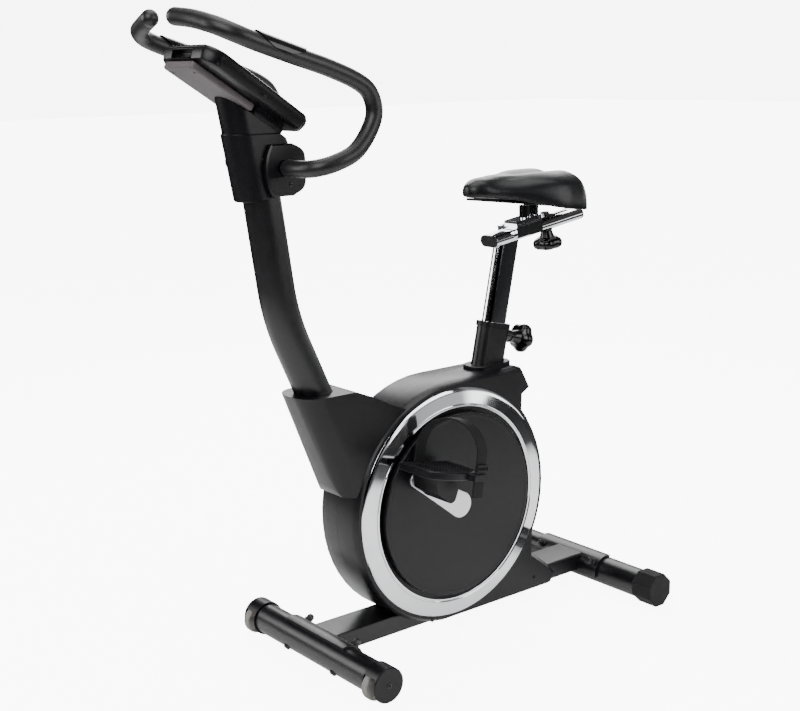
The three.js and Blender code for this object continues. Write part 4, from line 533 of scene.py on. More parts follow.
def arc(cx, cz, radius, start, end, steps):
    """Points of an arc in degrees."""
    turns = [math.radians(start + (end - start) * i / steps) for i in range(steps + 1)]
    return [(cx + radius * math.cos(a), cz + radius * math.sin(a)) for a in turns]


def slab(name, outline, y0, y1, slot):
    """A side outline in X and Z pushed out along Y."""
    rings = [[Vector((x, y, z)) for x, z in outline] for y in (y0, y1)]
    return loft(name, rings, slot)


def spline(knots, steps):
    """A smooth path through its knots (Catmull-Rom), with a number of steps between knots."""
    points = []
    for i in range(len(knots) - 1):
        p0 = knots[max(i - 1, 0)]
        p1, p2 = knots[i], knots[i + 1]
        p3 = knots[min(i + 2, len(knots) - 1)]
        for s in range(steps):
            t = s / steps
            points.append(
                0.5
                * (
                    2 * p1
                    + (p2 - p0) * t
                    + (2 * p0 - 5 * p1 + 4 * p2 - p3) * t**2
                    + (3 * p1 - 3 * p2 + p3 - p0) * t**3
                )
            )
    points.append(knots[-1])
    return points


def carve(obj, cutter):
    """Cuts one object out of another and removes the cutter."""
    cut = obj.modifiers.new("cut", "BOOLEAN")
    cut.operation = "DIFFERENCE"
    cut.solver = "EXACT"
    cut.object = cutter
    bake_modifiers(obj)
    bpy.data.objects.remove(cutter)
    return obj


def bake_modifiers(obj):
    """Makes an object's modified shape its own mesh."""
    evaluated = obj.evaluated_get(bpy.context.evaluated_depsgraph_get())
    mesh = bpy.data.meshes.new_from_object(evaluated)
    obj.modifiers.clear()
    obj.data = mesh


def merged(name, objects):
    """Joins several objects of one finish into a single piece."""
    first = objects[0]
    shape = bmesh.new()
    for obj in objects:
        obj.data.transform(obj.matrix_basis)
        shape.from_mesh(obj.data)
    mesh = bpy.data.meshes.new(name)
    shape.to_mesh(mesh)
    shape.free()
    mesh.materials.append(first.data.materials[0])
    joined = bpy.data.objects.new(name, mesh)
    bpy.context.scene.collection.objects.link(joined)
    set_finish(joined, first["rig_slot"])
    for obj in objects:
        bpy.data.objects.remove(obj)
    return joined


def screw(at, out, radius):
    """Pan-head screw with a socket in its head, seated at a point and facing out."""
    r = radius
    profile = [
        (r * 0.38, -0.0005), (r * 0.38, r * 0.28), (r * 0.46, r * 0.36), (r * 0.72, r * 0.33),
        (r * 0.93, r * 0.2), (r, 0.0), (r, -0.0012), (r * 0.05, -0.0012), (r * 0.05, -0.0005),
    ]
    return turned("screw", profile, at, out, "steel_black", sides=24)


# ---- Pieces that the frame already shapes ----
def material_slots():
    return {row["node"]: row["material_slot"] for row in frame["record"]["subparts"]}


FINE_EDGES = {
    "frame_base": 0.0006,
    "drive_belt": 0.0002,
    "console_display": 0.0003,
    "console_button_left": 0.0008,
    "console_button_right": 0.0008,
    "console_dial": 0.0005,
    "seat_post": 0.0008,
    "seat_rail": 0.0006,
    "pulse_sensor_left": 0.0002,
    "pulse_sensor_right": 0.0002,
    "post_boot": 0.0022,
    "rail_cap_front": 0.0008,
    "rail_cap_rear": 0.0008,
}


class BIKE_OT_frame_finish(bpy.types.Operator):
    """Give every sub-part of the frame its finish and soft edges"""

    bl_idname = "bike.frame_finish"
    bl_label = "Frame finishes"

    def execute(self, context):
        slots = material_slots()
        soft = context.scene.bike_sizes.soft_edge
        for name, obj in frame["nodes"].items():
            obj.data.materials.clear()
            obj.data.materials.append(finish_of(slots[name]))
            soften(obj, FINE_EDGES.get(name, soft), merge=True)
        return {"FINISHED"}


# ---- Mast ----
def mast_line(top):
    """The mast's centre line: a low stretch, a bend and a steeper high stretch."""
    sizes = bpy.context.scene.bike_sizes
    low, high = MAST_LOW_LEAN, MAST_HIGH_LEAN
    bend_x = MAST_FOOT_X - (MAST_BEND_Z - MAST_FOOT_Z) * math.tan(low)
    centre_x = bend_x + sizes.mast_bend * math.cos(low)
    centre_z = MAST_BEND_Z + sizes.mast_bend * math.sin(low)
    points = [Vector((MAST_FOOT_X, 0, MAST_FOOT_Z + WELD_GAP))]
    points += [points[0].lerp(Vector((bend_x, 0, MAST_BEND_Z)), share) for share in (0.3, 0.6, 0.9)]
    steps = 16
    for i in range(steps + 1):
        lean = low + (high - low) * i / steps
        x = centre_x - sizes.mast_bend * math.cos(lean)
        points.append(Vector((x, 0, centre_z - sizes.mast_bend * math.sin(lean))))
    last = points[-1]
    points.append(Vector((last.x - (top - last.z) * math.tan(high), 0, top)))
    return points


def flat_foot(obj, height):
    """Cuts an object level at a height."""
    shape = bmesh.new()
    shape.from_mesh(obj.data)
    geometry = shape.verts[:] + shape.edges[:] + shape.faces[:]
    cut = bmesh.ops.bisect_plane(
        shape, geom=geometry, plane_co=(0, 0, height), plane_no=(0, 0, -1), clear_outer=True
    )
    edges = [e for e in cut["geom_cut"] if isinstance(e, bmesh.types.BMEdge)]
    bmesh.ops.contextual_create(shape, geom=edges)
    shape.to_mesh(obj.data)
    shape.free()


class BIKE_OT_mast(bpy.types.Operator):
    """Round mast tube with its long bend"""

    bl_idname = "bike.mast"
    bl_label = "Mast"

    def execute(self, context):
        radius = context.scene.bike_sizes.mast_radius
        points = mast_line(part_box("mast_cover")[0].z + 0.06)
        along = (points[1] - points[0]).normalized()
        points.insert(0, points[0] - along * 0.04)
        mast = tube("mast", points, [radius] * len(points), "steel_black", sides=72)
        flat_foot(mast, MAST_FOOT_Z + WELD_GAP)
        soften(mast, 0.0)
        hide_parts("front_post")
        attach(mast, "frame")
        return {"FINISHED"}


# ---- Handlebar foam ----
def grip_knots(side):
    """Knots of one arm of the handlebar, from beside the clamp to the tip of the horn."""
    wide = bpy.context.scene.bike_sizes.bar_half_width
    knots = [
        (0, -0.056, 0), (0, -wide + 0.056, 0), (0.008, -wide + 0.022, 0.003),
        (0.036, -wide + 0.006, 0.011), (0.075, -wide, 0.028), (0.105, -wide, 0.060),
        (0.120, -wide, 0.095), (0.110, -wide, 0.130), (0.080, -wide, 0.152), (0.020, -wide, 0.175),
        (-0.050, -wide, 0.196), (-0.118, -wide, 0.217), (-0.155, -wide + 0.005, 0.231),
        (-0.176, -wide + 0.024, 0.243), (-0.184, -wide + 0.052, 0.251),
        (-0.192, -wide + 0.084, 0.258), (-0.203, -wide + 0.116, 0.262),
    ]
    return [BAR + Vector((x, -side * y, z)) for x, y, z in knots]


TIP_DOME = [math.radians(a) for a in (15, 30, 45, 60, 72, 82, 88)]


class BIKE_OT_grips(bpy.types.Operator):
    """Foam sleeves over both arms of the handlebar, with domed tips"""

    bl_idname = "bike.grips"
    bl_label = "Grips"

    def execute(self, context):
        foam = context.scene.bike_sizes.foam_radius
        for name, side in SIDES:
            points = spline(grip_knots(side), 6)
            tip = points[-1]
            along = (tip - points[-2]).normalized()
            radii = [foam - 0.002, foam - 0.0015] + [foam] * (len(points) - 1)
            points.insert(0, points[0].lerp(points[1], -0.08))
            points += [tip + along * (foam * math.sin(a)) for a in TIP_DOME]
            radii += [foam * math.cos(a) for a in TIP_DOME]
            grip = tube(f"grip_{name}", points, radii, "foam")
            soften(grip, 0.0)
            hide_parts(f"grip_foam_{name}")
            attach(grip, "handlebar")
        return {"FINISHED"}


# ---- Rings, discs and crank arms ----
def ring_profile(outer, inner):
    """Conical band, a dark groove and a narrow inner lip."""
    seat = 0.0623
    top = seat + 0.008
    return [
        (inner, seat), (inner, top - 0.0012), (inner + 0.0008, top - 0.0004),
        (inner + 0.0038, top - 0.0004), (inner + 0.0044, top - 0.0010),
        (inner + 0.0044, top - 0.0038), (inner + 0.0066, top - 0.0038),
        (inner + 0.0066, top - 0.0006), (inner + 0.0073, top - 0.0001),
        (outer - 0.010, seat + 0.0040), (outer - 0.004, seat + 0.0029),
        (outer - 0.001, seat + 0.0015), (outer, seat + 0.0004), (outer, seat),
    ]


class BIKE_OT_rings(bpy.types.Operator):
    """Chromed trim ring on each cover"""

    bl_idname = "bike.rings"
    bl_label = "Trim rings"

    def execute(self, context):
        sizes = context.scene.bike_sizes
        for name, side in SIDES:
            profile = ring_profile(sizes.ring_outer, sizes.ring_inner)
            ring = turned(f"chromed_ring_{name}", profile, CRANK, (0, side, 0), "chrome")
            soften(ring, 0.0)
            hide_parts(f"trim_ring_{name}")
            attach(ring, "frame")
        return {"FINISHED"}


def link_outline(reach, radius, end_radius, steps=40):
    """Outline round two circles and their common tangents, the second one along +X."""
    lean = math.degrees(math.acos((radius - end_radius) / reach))
    return arc(0, 0, radius, lean, 360 - lean, steps) + arc(reach, 0, end_radius, -lean, lean, steps // 2)


def along_crank(obj, side):
    """Turns something built along +X on the crank axis so that it follows one side's arm."""
    spindle = LEFT_SPINDLE if side < 0 else RIGHT_SPINDLE
    reach = spindle - CRANK
    turn = Matrix.Rotation(math.atan2(-reach.z, reach.x), 4, "Y")
    obj.data.transform(Matrix.Translation(CRANK) @ turn)
    return obj


class BIKE_OT_cranks(bpy.types.Operator):
    """Crank discs with their teardrop openings, and the arms in them"""

    bl_idname = "bike.cranks"
    bl_label = "Crank discs and arms"

    def execute(self, context):
        for name, side in SIDES:
            self.disc(context.scene.bike_sizes, name, side)
            self.arm(context.scene.bike_sizes, name, side)
        return {"FINISHED"}

    def disc(self, sizes, name, side):
        r, face = sizes.disc_radius, sizes.disc_face
        profile = [
            (0.0105, face - 0.0066), (0.0105, face), (r - 0.0105, face),
            (r - 0.0098, face - 0.0005), (r - 0.0090, face), (r - 0.0030, face),
            (r - 0.0012, face - 0.0006), (r, face - 0.0026), (r, face - 0.0105),
            (r - 0.0035, face - 0.0105), (r - 0.0035, face - 0.0066),
        ]
        disc = turned(f"disc_{name}", profile, CRANK, (0, side, 0), "plastic_black")
        reach = (LEFT_SPINDLE - CRANK).length
        outline = link_outline(reach, sizes.arm_boss + 0.0006, sizes.arm_end + 0.0006)
        cutter = slab("opening", outline, side * (face - 0.0052), side * (face + 0.01), "plastic_black")
        carve(disc, along_crank(cutter, side))
        soften(disc, 0.0004, corner=50)
        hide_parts(f"crank_disc_{name}")
        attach(disc, "crank")

    def arm(self, sizes, name, side):
        reach = (LEFT_SPINDLE - CRANK).length
        outline = link_outline(reach, sizes.arm_boss, sizes.arm_end)
        face = sizes.disc_face + 0.004
        arm = slab(f"arm_{name}", outline, side * (face - 0.0098), side * face, "alloy")
        along_crank(arm, side)
        soften(arm, 0.0018, segments=4)
        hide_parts(f"crank_arm_{name}")
        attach(arm, "crank")


# ---- Hand knobs ----
RAIL_UNDERSIDE = 0.0135  # below the rail's middle
RAIL_NECK = 0.013
POST_NECK = 0.0225
KNOB_HEAD = 0.0345  # from where a knob's head starts to the far end of its frame piece


def lobe(angle, lobes=5, depth=0.13):
    """How far a lobed grip stands out at an angle: full lobes with narrow valleys."""
    return 1.0 - depth * (0.5 - 0.5 * math.cos(lobes * angle)) ** 1.6


def knob_pieces(name, top, out, neck, radius):
    """Lobed head and a plain neck; out points away from what the knob screws into."""
    r = radius
    head = [
        (r * 0.05, 0.002), (r * 0.34, 0.002), (r * 0.62, 0.005), (r * 0.90, 0.009),
        (r * 1.00, 0.014), (r * 1.00, 0.021), (r * 0.94, 0.026), (r * 0.80, 0.029),
        (r * 0.55, 0.0302), (r * 0.05, 0.0308),
    ]
    collar = [
        (0.004, 0.004), (r * 0.50, 0.004), (r * 0.42, -neck * 0.35), (r * 0.38, -neck * 0.7),
        (r * 0.42, -neck + 0.001), (0.004, -neck + 0.001),
    ]
    shaped = turned("head", head, top, out, "plastic_gloss", sides=80, reach=lobe)
    plain = turned("neck", collar, top, out, "plastic_gloss", sides=48)
    return merged(name, [shaped, plain])


class BIKE_OT_knobs(bpy.types.Operator):
    """Gloss hand knobs under the saddle's rail and behind the seat tube"""

    bl_idname = "bike.knobs"
    bl_label = "Hand knobs"

    def execute(self, context):
        radius = context.scene.bike_sizes.knob_radius
        rail_down = -joint_axis("carriage_knob_turn")
        start = joint_at("carriage_knob_turn") + rail_down * (RAIL_UNDERSIDE + RAIL_NECK)
        under = knob_pieces("rail_knob", start, rail_down, RAIL_NECK, radius)
        bolt_profile = [
            (0.0005, -0.045), (0.0095, -0.045), (0.0095, -0.0385), (0.0048, -0.038), (0.0048, 0.0),
            (0.0005, 0.0),
        ]
        seat = start - rail_down * (RAIL_NECK - 0.008)
        bolt = turned("rail_bolt", bolt_profile, seat, rail_down, "chrome", sides=32)
        soften(bolt, 0.0004)
        back = joint_axis("seat_knob_pull")
        knob_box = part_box("seat_height_knob")
        centre = (knob_box[0] + knob_box[1]) / 2  # the knob's axis passes through it
        reach = (knob_box[1] - knob_box[0]).x / 2 / back.x
        behind = knob_pieces("post_knob", centre + back * (reach - KNOB_HEAD), back, POST_NECK, radius)
        for piece, body in ((under, "carriage_knob"), (behind, "seat_height_knob")):
            soften(piece, 0.0)
            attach(piece, body)
        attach(bolt, "carriage_knob")
        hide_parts("carriage_knob")
        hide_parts("seat_height_knob")
        return {"FINISHED"}


# ---- Toe straps ----
PEDAL_INNER = 0.095
PEDAL_OUTER = 0.205
LUG = 0.005
STRAP_THICKNESS = 0.003
STRAP_LEAN = 0.45


def strap_path():
    """Centre line of a toe strap in |y| and z, from the inner lug over the foot to the tail."""
    inner, outer = PEDAL_INNER - LUG, PEDAL_OUTER + LUG
    middle, half = (inner + outer) / 2, (outer - inner) / 2
    shoulder, rise = 0.073, 0.066
    arch = []
    for i in range(49):
        angle = math.pi * i / 48
        arch.append((middle - half * math.cos(angle), shoulder + rise * math.sin(angle)))
    start = [(inner, 0.021 + 0.052 * i / 5) for i in range(5)]
    tail = [(outer, shoulder - (shoulder + 0.006) * i / 22) for i in range(1, 23)]
    return start + arch + tail


def strap_rings(width):
    """Four-cornered rings along a strap; its tail is ribbed outside like a ladder."""
    path = strap_path()
    rings = []
    for i, (y, z) in enumerate(path):
        before, after = path[max(i - 1, 0)], path[min(i + 1, len(path) - 1)]
        run = Vector((after[0] - before[0], after[1] - before[1])).normalized()
        normal = Vector((-run.y, run.x))
        ribbed = y > PEDAL_OUTER and z < 0.068
        half = STRAP_THICKNESS / 2
        outside = half + (0.0009 if ribbed and i % 2 else 0.0)
        edge = width / 2
        section = ((-edge, outside), (edge, outside), (edge, -half), (-edge, -half))
        rings.append([(x, y + normal.x * lift, z + normal.y * lift) for x, lift in section])
    return rings


def on_pedal(point, side):
    """A point of the pedal's own frame (x, |y|, z), with the strap's lean, in the bike's frame."""
    x, y, z = point
    local = Vector((x + STRAP_LEAN * (y - PEDAL_INNER) - 0.006, side * y, z))
    spindle = LEFT_SPINDLE if side < 0 else RIGHT_SPINDLE
    return spindle + Matrix.Rotation(PEDAL_TILT, 3, "Y") @ local


class BIKE_OT_straps(bpy.types.Operator):
    """Toe straps over both pedals with ladder tails and buckles"""

    bl_idname = "bike.straps"
    bl_label = "Toe straps"

    def execute(self, context):
        width = context.scene.bike_sizes.strap_width
        for name, side in SIDES:
            rings = [[on_pedal(p, side) for p in ring] for ring in strap_rings(width)]
            strap = loft(f"toe_strap_{name}", rings, "rubber")
            soften(strap, 0.0005, corner=50)
            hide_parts(f"strap_{name}")
            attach(strap, f"{name}_pedal")
            self.buckle(name, side, width)
        return {"FINISHED"}

    def buckle(self, name, side, width):
        """Frame round the tail where it leaves the pedal's lug."""
        y0, y1 = PEDAL_OUTER + LUG + 0.0026, PEDAL_OUTER + LUG + 0.0056
        half = width / 2 + 0.002
        bars = []
        for z0, z1 in ((0.046, 0.050), (0.056, 0.060)):
            corners = [(-half, z0), (half, z0), (half, z1), (-half, z1)]
            rings = [[on_pedal((x, y, z), side) for x, z in corners] for y in (y0, y1)]
            bars.append(loft("bar", rings, "plastic_black"))
        for x0, x1 in ((-half, -half + 0.0018), (half - 0.0018, half)):
            corners = [(x0, 0.0495), (x1, 0.0495), (x1, 0.0565), (x0, 0.0565)]
            rings = [[on_pedal((x, y, z), side) for x, z in corners] for y in (y0, y1)]
            bars.append(loft("bar", rings, "plastic_black"))
        buckle = merged(f"buckle_{name}", bars)
        soften(buckle, 0.0004)
        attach(buckle, f"{name}_pedal")


# ---- Saddle ----
def smoothstep(value, low, high):
    share = min(1.0, max(0.0, (value - low) / (high - low)))
    return share * share * (3 - 2 * share)


def saddle_half_width(u, widest):
    """Half width of the saddle from nose (0) to tail (1)."""
    nose_half = 0.034
    early = min(1.0, u / 0.16)
    nose = nose_half * math.sqrt(early * (2 - early))
    flare = smoothstep(u, 0.06, 0.72)
    tail = 1.0 if u < 0.74 else math.sqrt(max(0.0, 1 - ((u - 0.74) / 0.262) ** 2.6))
    return (nose + (widest - nose_half) * flare) * tail


RIM_FRONT = 0.912  # height of the saddle's lower edge at the nose
RIM_REAR = 0.878  # and at the tail
SADDLE_TOP = 0.951
SADDLE_SKIRT = 0.014  # how far its sides hang below its middle at the tail


def saddle_rim(u):
    return RIM_FRONT + (RIM_REAR - RIM_FRONT) * u


def saddle_skirt(u, side=1.0):
    return SADDLE_SKIRT * smoothstep(u, 0.1, 0.7) * smoothstep(abs(side), 0.88, 0.96)


def saddle_height(u):
    """From the rim to the ridge: a low nose, then a long even rise to two full cheeks."""
    nose = 0.33 + 0.5 * min(1.0, u / 0.1) ** 0.6
    swell = nose + 0.17 * smoothstep(u, 0.1, 0.6)
    tail = 1.0 if u < 0.8 else 1 - 0.42 * ((u - 0.8) / 0.2) ** 2
    return (SADDLE_TOP - saddle_rim(u)) * swell * tail


def saddle_rings(widest, around=72, count=64):
    """Rings of the cushion from nose to tail: a skirt below, two cheeks and a groove above."""
    low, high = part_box("saddle_cushion")
    rings = []
    for i in range(count):
        u = 0.004 + 0.992 * (0.5 - 0.5 * math.cos(math.pi * i / (count - 1)))
        x = low.x + u * (high.x - low.x)
        wide = saddle_half_width(u, widest)
        groove = 0.013 * smoothstep(u, 0.25, 0.55)
        ring = []
        for s in range(around):
            angle = 2 * math.pi * s / around
            c, d = math.cos(angle), math.sin(angle)
            out = math.copysign(abs(c) ** 0.8, c)
            rise = d**0.62 if d > 0 else 0.0
            dip = groove * math.exp(-((out * wide / 0.026) ** 2)) * rise
            hang = 0.006 * min(0.0, d) - saddle_skirt(u, out) * (1 - rise)
            ring.append(Vector((x, out * wide, saddle_rim(u) + saddle_height(u) * rise - dip + hang)))
        rings.append(ring)
    return rings


def even_mesh(obj):
    """Remakes an object's skin from small even facets."""
    remesh = obj.modifiers.new("even mesh", "REMESH")
    remesh.mode = "VOXEL"
    remesh.voxel_size = 0.004
    bake_modifiers(obj)


def inflate(obj, pressure, reach):
    """Fills a closed skin with air: cloth whose underside is held, moved no further than reach."""
    start = [v.co.copy() for v in obj.data.vertices]
    held = obj.vertex_groups.new(name="on the pan")
    nose = min(v.x for v in start)
    tail = max(v.x for v in start)
    for i, v in enumerate(start):
        if v.z < saddle_rim((v.x - nose) / (tail - nose)) + 0.001:
            held.add([i], 1.0, "REPLACE")
    cloth = obj.modifiers.new("air", "CLOTH")
    cloth.settings.use_pressure = True
    cloth.settings.uniform_pressure_force = pressure
    cloth.settings.effector_weights.gravity = 0.0
    cloth.settings.vertex_group_mass = held.name
    scene = bpy.context.scene
    for step in range(1, 21):
        scene.frame_set(step)
    bake_modifiers(obj)
    scene.frame_set(1)
    for v, first in zip(obj.data.vertices, start):
        shift = v.co - first
        if shift.length > reach:
            v.co = first + shift * (reach / shift.length)


class BIKE_OT_saddle(bpy.types.Operator):
    """Soft vinyl saddle with a seam round its lower edge"""

    bl_idname = "bike.saddle"
    bl_label = "Saddle"

    def execute(self, context):
        widest = context.scene.bike_sizes.saddle_half_width - 0.002
        cushion = loft("cushion", saddle_rings(widest), "leather")
        even_mesh(cushion)
        inflate(cushion, context.scene.bike_detail.cushion_pressure, 0.0025)
        self.smooth(cushion)
        cushion.data.materials.clear()
        cushion.data.materials.append(finish_of("leather"))
        fine = cushion.modifiers.new("fine", "SUBSURF")
        fine.levels = fine.render_levels = 1
        soften(cushion, 0.0)
        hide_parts("saddle_cushion")
        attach(cushion, "saddle")
        self.seam(context.scene.bike_sizes.saddle_half_width)
        return {"FINISHED"}

    def smooth(self, obj):
        shape = bmesh.new()
        shape.from_mesh(obj.data)
        for _ in range(3):
            bmesh.ops.smooth_vert(
                shape, verts=shape.verts, factor=0.5, use_axis_x=True, use_axis_y=True, use_axis_z=True
            )
        shape.to_mesh(obj.data)
        shape.free()

    def seam(self, widest):
        """Thin welt where the cover meets the pan."""
        low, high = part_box("saddle_cushion")
        right, left = [], []
        for i in range(61):
            u = 0.5 - 0.5 * math.cos(math.pi * i / 60)
            x = low.x + 0.0035 + u * (high.x - low.x - 0.007)
            y = max(0.0, saddle_half_width(min(1.0, max(0.0, u)), widest) - 0.0025)
            z = saddle_rim(u) - saddle_skirt(u) + 0.002
            right.append(Vector((x, y, z)))
            left.append(Vector((x, -y, z)))
        loop = right + left[-2:0:-1]
        sides = 10
        rings = []
        for i, point in enumerate(loop):
            along = (loop[(i + 1) % len(loop)] - loop[i - 1]).normalized()
            across = UP - along * UP.dot(along)
            across.normalize()
            other = along.cross(across)
            turns = [2 * math.pi * s / sides for s in range(sides)]
            rings.append([point + (across * math.cos(a) + other * math.sin(a)) * 0.0016 for a in turns])
        welt = loft("saddle_welt", rings, "leather", close_rings=True)
        soften(welt, 0.0)
        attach(welt, "saddle")


# ---- Screws ----
# Each fixing's place as x, |y|, z and the radius of its head
HEAD_SCREWS = ((-0.352, 1.015), (-0.346, 0.990), (-0.338, 0.953))
COVER_SCREWS = ((0.006, 0.043), (0.303, 0.060))
CONSOLE_SCREWS = (-0.462, -0.372, -0.292)
CONSOLE_SLOPE = 0.642


def side_screws(name):
    """The screws that one side of the bike shows."""
    low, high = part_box(f"front_cap_{name}")
    middle = (low + high) / 2
    return [
        *((x, 0.0388, z, 0.0032) for x, z in HEAD_SCREWS),
        *((x, 0.0635, z, 0.0035) for x, z in COVER_SCREWS),
        *((x, 0.0845, 1.128 - (x + 0.3755) * CONSOLE_SLOPE, 0.0028) for x in CONSOLE_SCREWS),
        (-0.302, 0.0522, 0.968, 0.0042),
        (middle.x, max(abs(low.y), abs(high.y)), middle.z, 0.0055),
    ]


class BIKE_OT_screws(bpy.types.Operator):
    """Visible screws in the covers, the mast's head, the console and the front end caps"""

    bl_idname = "bike.screws"
    bl_label = "Screws"

    def execute(self, context):
        screws = []
        for name, side in SIDES:
            for x, y, z, radius in side_screws(name):
                screws.append(screw(Vector((x, side * y, z)), (0, side, 0), radius))
        fixings = merged("screws", screws)
        soften(fixings, 0.0)
        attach(fixings, "frame")
        return {"FINISHED"}


# ---- Stage ----
PAPER_EDGE = 1.7  # the pale paper under the bike, as its chrome mirrors it, ends here
FLOOR_GLOW = 0.45  # light that the bike gets from the floor
FLOOR_GLOW_SEEN = 8.0  # how bright the floor itself looks
BACKDROP_SEEN = 9.0
DOME = ((0.05, 1.0), (0.10, 0.10), (0.45, 0.05), (0.8, 0.12))  # height and grey
STRIPS = ((0.28, 0.25), (0.31, 2.4), (0.36, 2.4), (0.39, 0.25), (0.66, 0.3), (0.70, 1.8))
DOME_STRENGTH = 2.2
CAMERA_PLACE = Vector((-1.6467 - MIDDLE_X, -2.0533, 1.1749))
CAMERA_HEADING = math.radians(-38.48)
CAMERA_PITCH = math.radians(77.67)
CAMERA_ROLL = math.radians(-1.04)
LAMPS = (  # name, place, width and power
    ("key", (-2.6, -1.4, 2.6), 2.2, 95.0),
    ("fill", (1.3, -3.0, 1.9), 2.0, 55.0),
    ("back", (1.8, 2.2, 2.4), 2.2, 90.0),
    ("rim", (-2.2, 2.0, 1.6), 1.6, 45.0),
    ("top", (0.0, 0.0, 3.4), 2.4, 70.0),
)


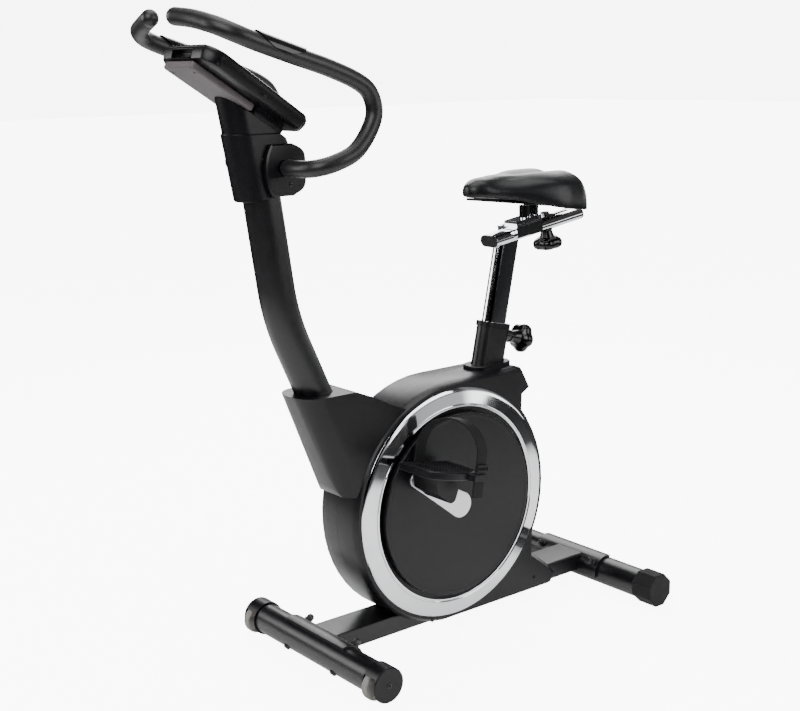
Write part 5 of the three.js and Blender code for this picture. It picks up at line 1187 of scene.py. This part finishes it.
class BIKE_OT_stage(bpy.types.Operator):
    """Pale floor, soft studio light and the camera"""

    bl_idname = "bike.stage"
    bl_label = "Stage"

    def execute(self, context):
        self.camera(context.scene)
        self.floor()
        self.world(context.scene)
        self.lights()
        return {"FINISHED"}

    def camera(self, scene):
        data = bpy.data.cameras.new("camera")
        data.lens = 59.86
        data.sensor_width = 36.0
        camera = bpy.data.objects.new("camera", data)
        scene.collection.objects.link(camera)
        turn = Matrix.Rotation(CAMERA_HEADING, 4, "Z")
        pitch = Matrix.Rotation(CAMERA_PITCH, 4, "X")
        roll = Matrix.Rotation(CAMERA_ROLL, 4, "Z")
        camera.matrix_world = Matrix.Translation(CAMERA_PLACE) @ turn @ pitch @ roll
        scene.camera = camera

    def floor(self):
        made = Shader("studio floor", tuple(bpy.context.scene.bike_colours.floor), 0.75)
        made.worn(3.0, 4.0, 0.7, 0.85)
        made.shader.inputs["Emission Color"].default_value = (1.0, 1.0, 1.0, 1.0)
        seen = made.add("ShaderNodeLightPath").outputs["Is Camera Ray"]
        away = made.add("ShaderNodeVectorMath", operation="LENGTH")
        made.link(made.place, away.inputs[0])
        sheet = made.add("ShaderNodeMath", operation="MAXIMUM")
        made.link(made.band(away.outputs["Value"], PAPER_EDGE + 0.5, PAPER_EDGE), sheet.inputs[0])
        made.link(seen, sheet.inputs[1])
        beyond = made.add("ShaderNodeMath", operation="SUBTRACT")
        beyond.inputs[0].default_value = 1.0
        made.link(sheet.outputs[0], beyond.inputs[1])
        made.tint(beyond.outputs[0], (0.02, 0.02, 0.021))
        near = made.spread(sheet.outputs[0], 0.0, FLOOR_GLOW)
        glow = made.add("ShaderNodeMath", operation="MULTIPLY_ADD")
        glow.inputs[1].default_value = FLOOR_GLOW_SEEN
        made.link(seen, glow.inputs[0])
        made.link(near, glow.inputs[2])
        made.link(glow.outputs[0], made.shader.inputs["Emission Strength"])
        half = 30.0
        corners = [(-half, -half, 0), (half, -half, 0), (half, half, 0), (-half, half, 0)]
        mesh = bpy.data.meshes.new("floor")
        mesh.from_pydata(corners, [], [(0, 1, 2, 3)])
        mesh.materials.append(made.material)
        floor = bpy.data.objects.new("floor", mesh)
        floor.location.z = -0.0005
        bpy.context.scene.collection.objects.link(floor)

    def world(self, scene):
        """What the bike mirrors: a dark dome with two bright strips above a pale horizon.

        The camera sees a plain white backdrop in its place.
        """
        world = bpy.data.worlds.new("studio")
        world.use_nodes = True
        nodes, links = world.node_tree.nodes, world.node_tree.links
        place = nodes.new("ShaderNodeTexCoord")
        split = nodes.new("ShaderNodeSeparateXYZ")
        ramp = nodes.new("ShaderNodeValToRGB")
        links.new(place.outputs["Generated"], split.inputs["Vector"])
        links.new(split.outputs["Z"], ramp.inputs["Fac"])
        strips = nodes.new("ShaderNodeValToRGB")
        links.new(split.outputs["X"], strips.inputs["Fac"])
        for position, grey in STRIPS:
            step = strips.color_ramp.elements.new(position)
            step.color = (grey, grey, grey, 1.0)
        both = nodes.new("ShaderNodeMix")
        both.data_type = "RGBA"
        both.blend_type = "MULTIPLY"
        both.inputs["Factor"].default_value = 1.0
        links.new(ramp.outputs["Color"], both.inputs[6])
        links.new(strips.outputs["Color"], both.inputs[7])
        links.new(both.outputs[2], nodes["Background"].inputs["Color"])
        backdrop = nodes.new("ShaderNodeBackground")
        backdrop.inputs["Strength"].default_value = BACKDROP_SEEN
        seen = nodes.new("ShaderNodeLightPath")
        choice = nodes.new("ShaderNodeMixShader")
        links.new(seen.outputs["Is Camera Ray"], choice.inputs["Fac"])
        links.new(nodes["Background"].outputs["Background"], choice.inputs[1])
        links.new(backdrop.outputs["Background"], choice.inputs[2])
        links.new(choice.outputs["Shader"], nodes["World Output"].inputs["Surface"])
        ramp.color_ramp.elements[0].position = 0.0
        ramp.color_ramp.elements[0].color = (1.0, 1.0, 1.0, 1.0)
        ramp.color_ramp.elements[1].position = 1.0
        ramp.color_ramp.elements[1].color = (0.22, 0.22, 0.22, 1.0)
        for position, grey in DOME:
            step = ramp.color_ramp.elements.new(position)
            step.color = (grey, grey, grey * 1.01, 1.0)
        nodes["Background"].inputs["Strength"].default_value = DOME_STRENGTH
        scene.world = world

    def lights(self):
        for name, place, size, power in LAMPS:
            data = bpy.data.lights.new(name, "AREA")
            data.size = size
            data.energy = power
            lamp = bpy.data.objects.new(name, data)
            bpy.context.scene.collection.objects.link(lamp)
            lamp.location = place
            aim = Vector((0, 0, 0.6)) - Vector(place)
            lamp.rotation_euler = aim.to_track_quat("-Z", "Y").to_euler()


# ---- Panel and registration ----
STEPS = (
    BIKE_OT_stage,
    BIKE_OT_frame_finish,
    BIKE_OT_mast,
    BIKE_OT_grips,
    BIKE_OT_rings,
    BIKE_OT_cranks,
    BIKE_OT_knobs,
    BIKE_OT_straps,
    BIKE_OT_saddle,
    BIKE_OT_screws,
)


class BIKE_PT_sidebar(bpy.types.Panel):
    """Steps that dress the bike, with its sizes and colours"""

    bl_idname = "BIKE_PT_sidebar"
    bl_label = "Exercise Bike"
    bl_space_type = "VIEW_3D"
    bl_region_type = "UI"
    bl_category = "Bike"

    def draw(self, context):
        column = self.layout.column(align=True)
        for step in STEPS:
            column.operator(step.bl_idname)
        for group in (context.scene.bike_sizes, context.scene.bike_colours, context.scene.bike_detail):
            box = self.layout.box()
            for name in group.__annotations__:
                box.prop(group, name)


CLASSES = (BikeSizes, BikeColours, BikeDetail, *STEPS, BIKE_PT_sidebar)


def register():
    for cls in CLASSES:
        bpy.utils.register_class(cls)
    bpy.types.Scene.bike_sizes = PointerProperty(type=BikeSizes)
    bpy.types.Scene.bike_colours = PointerProperty(type=BikeColours)
    bpy.types.Scene.bike_detail = PointerProperty(type=BikeDetail)


def unregister():
    del bpy.types.Scene.bike_detail
    del bpy.types.Scene.bike_colours
    del bpy.types.Scene.bike_sizes
    for cls in reversed(CLASSES):
        bpy.utils.unregister_class(cls)


def corners(box):
    return [list(corner) for corner in box]


def main():
    register()
    for step in STEPS:
        family, name = step.bl_idname.split(".")
        getattr(getattr(bpy.ops, family), name)()


if __name__ == "__main__":
    main()
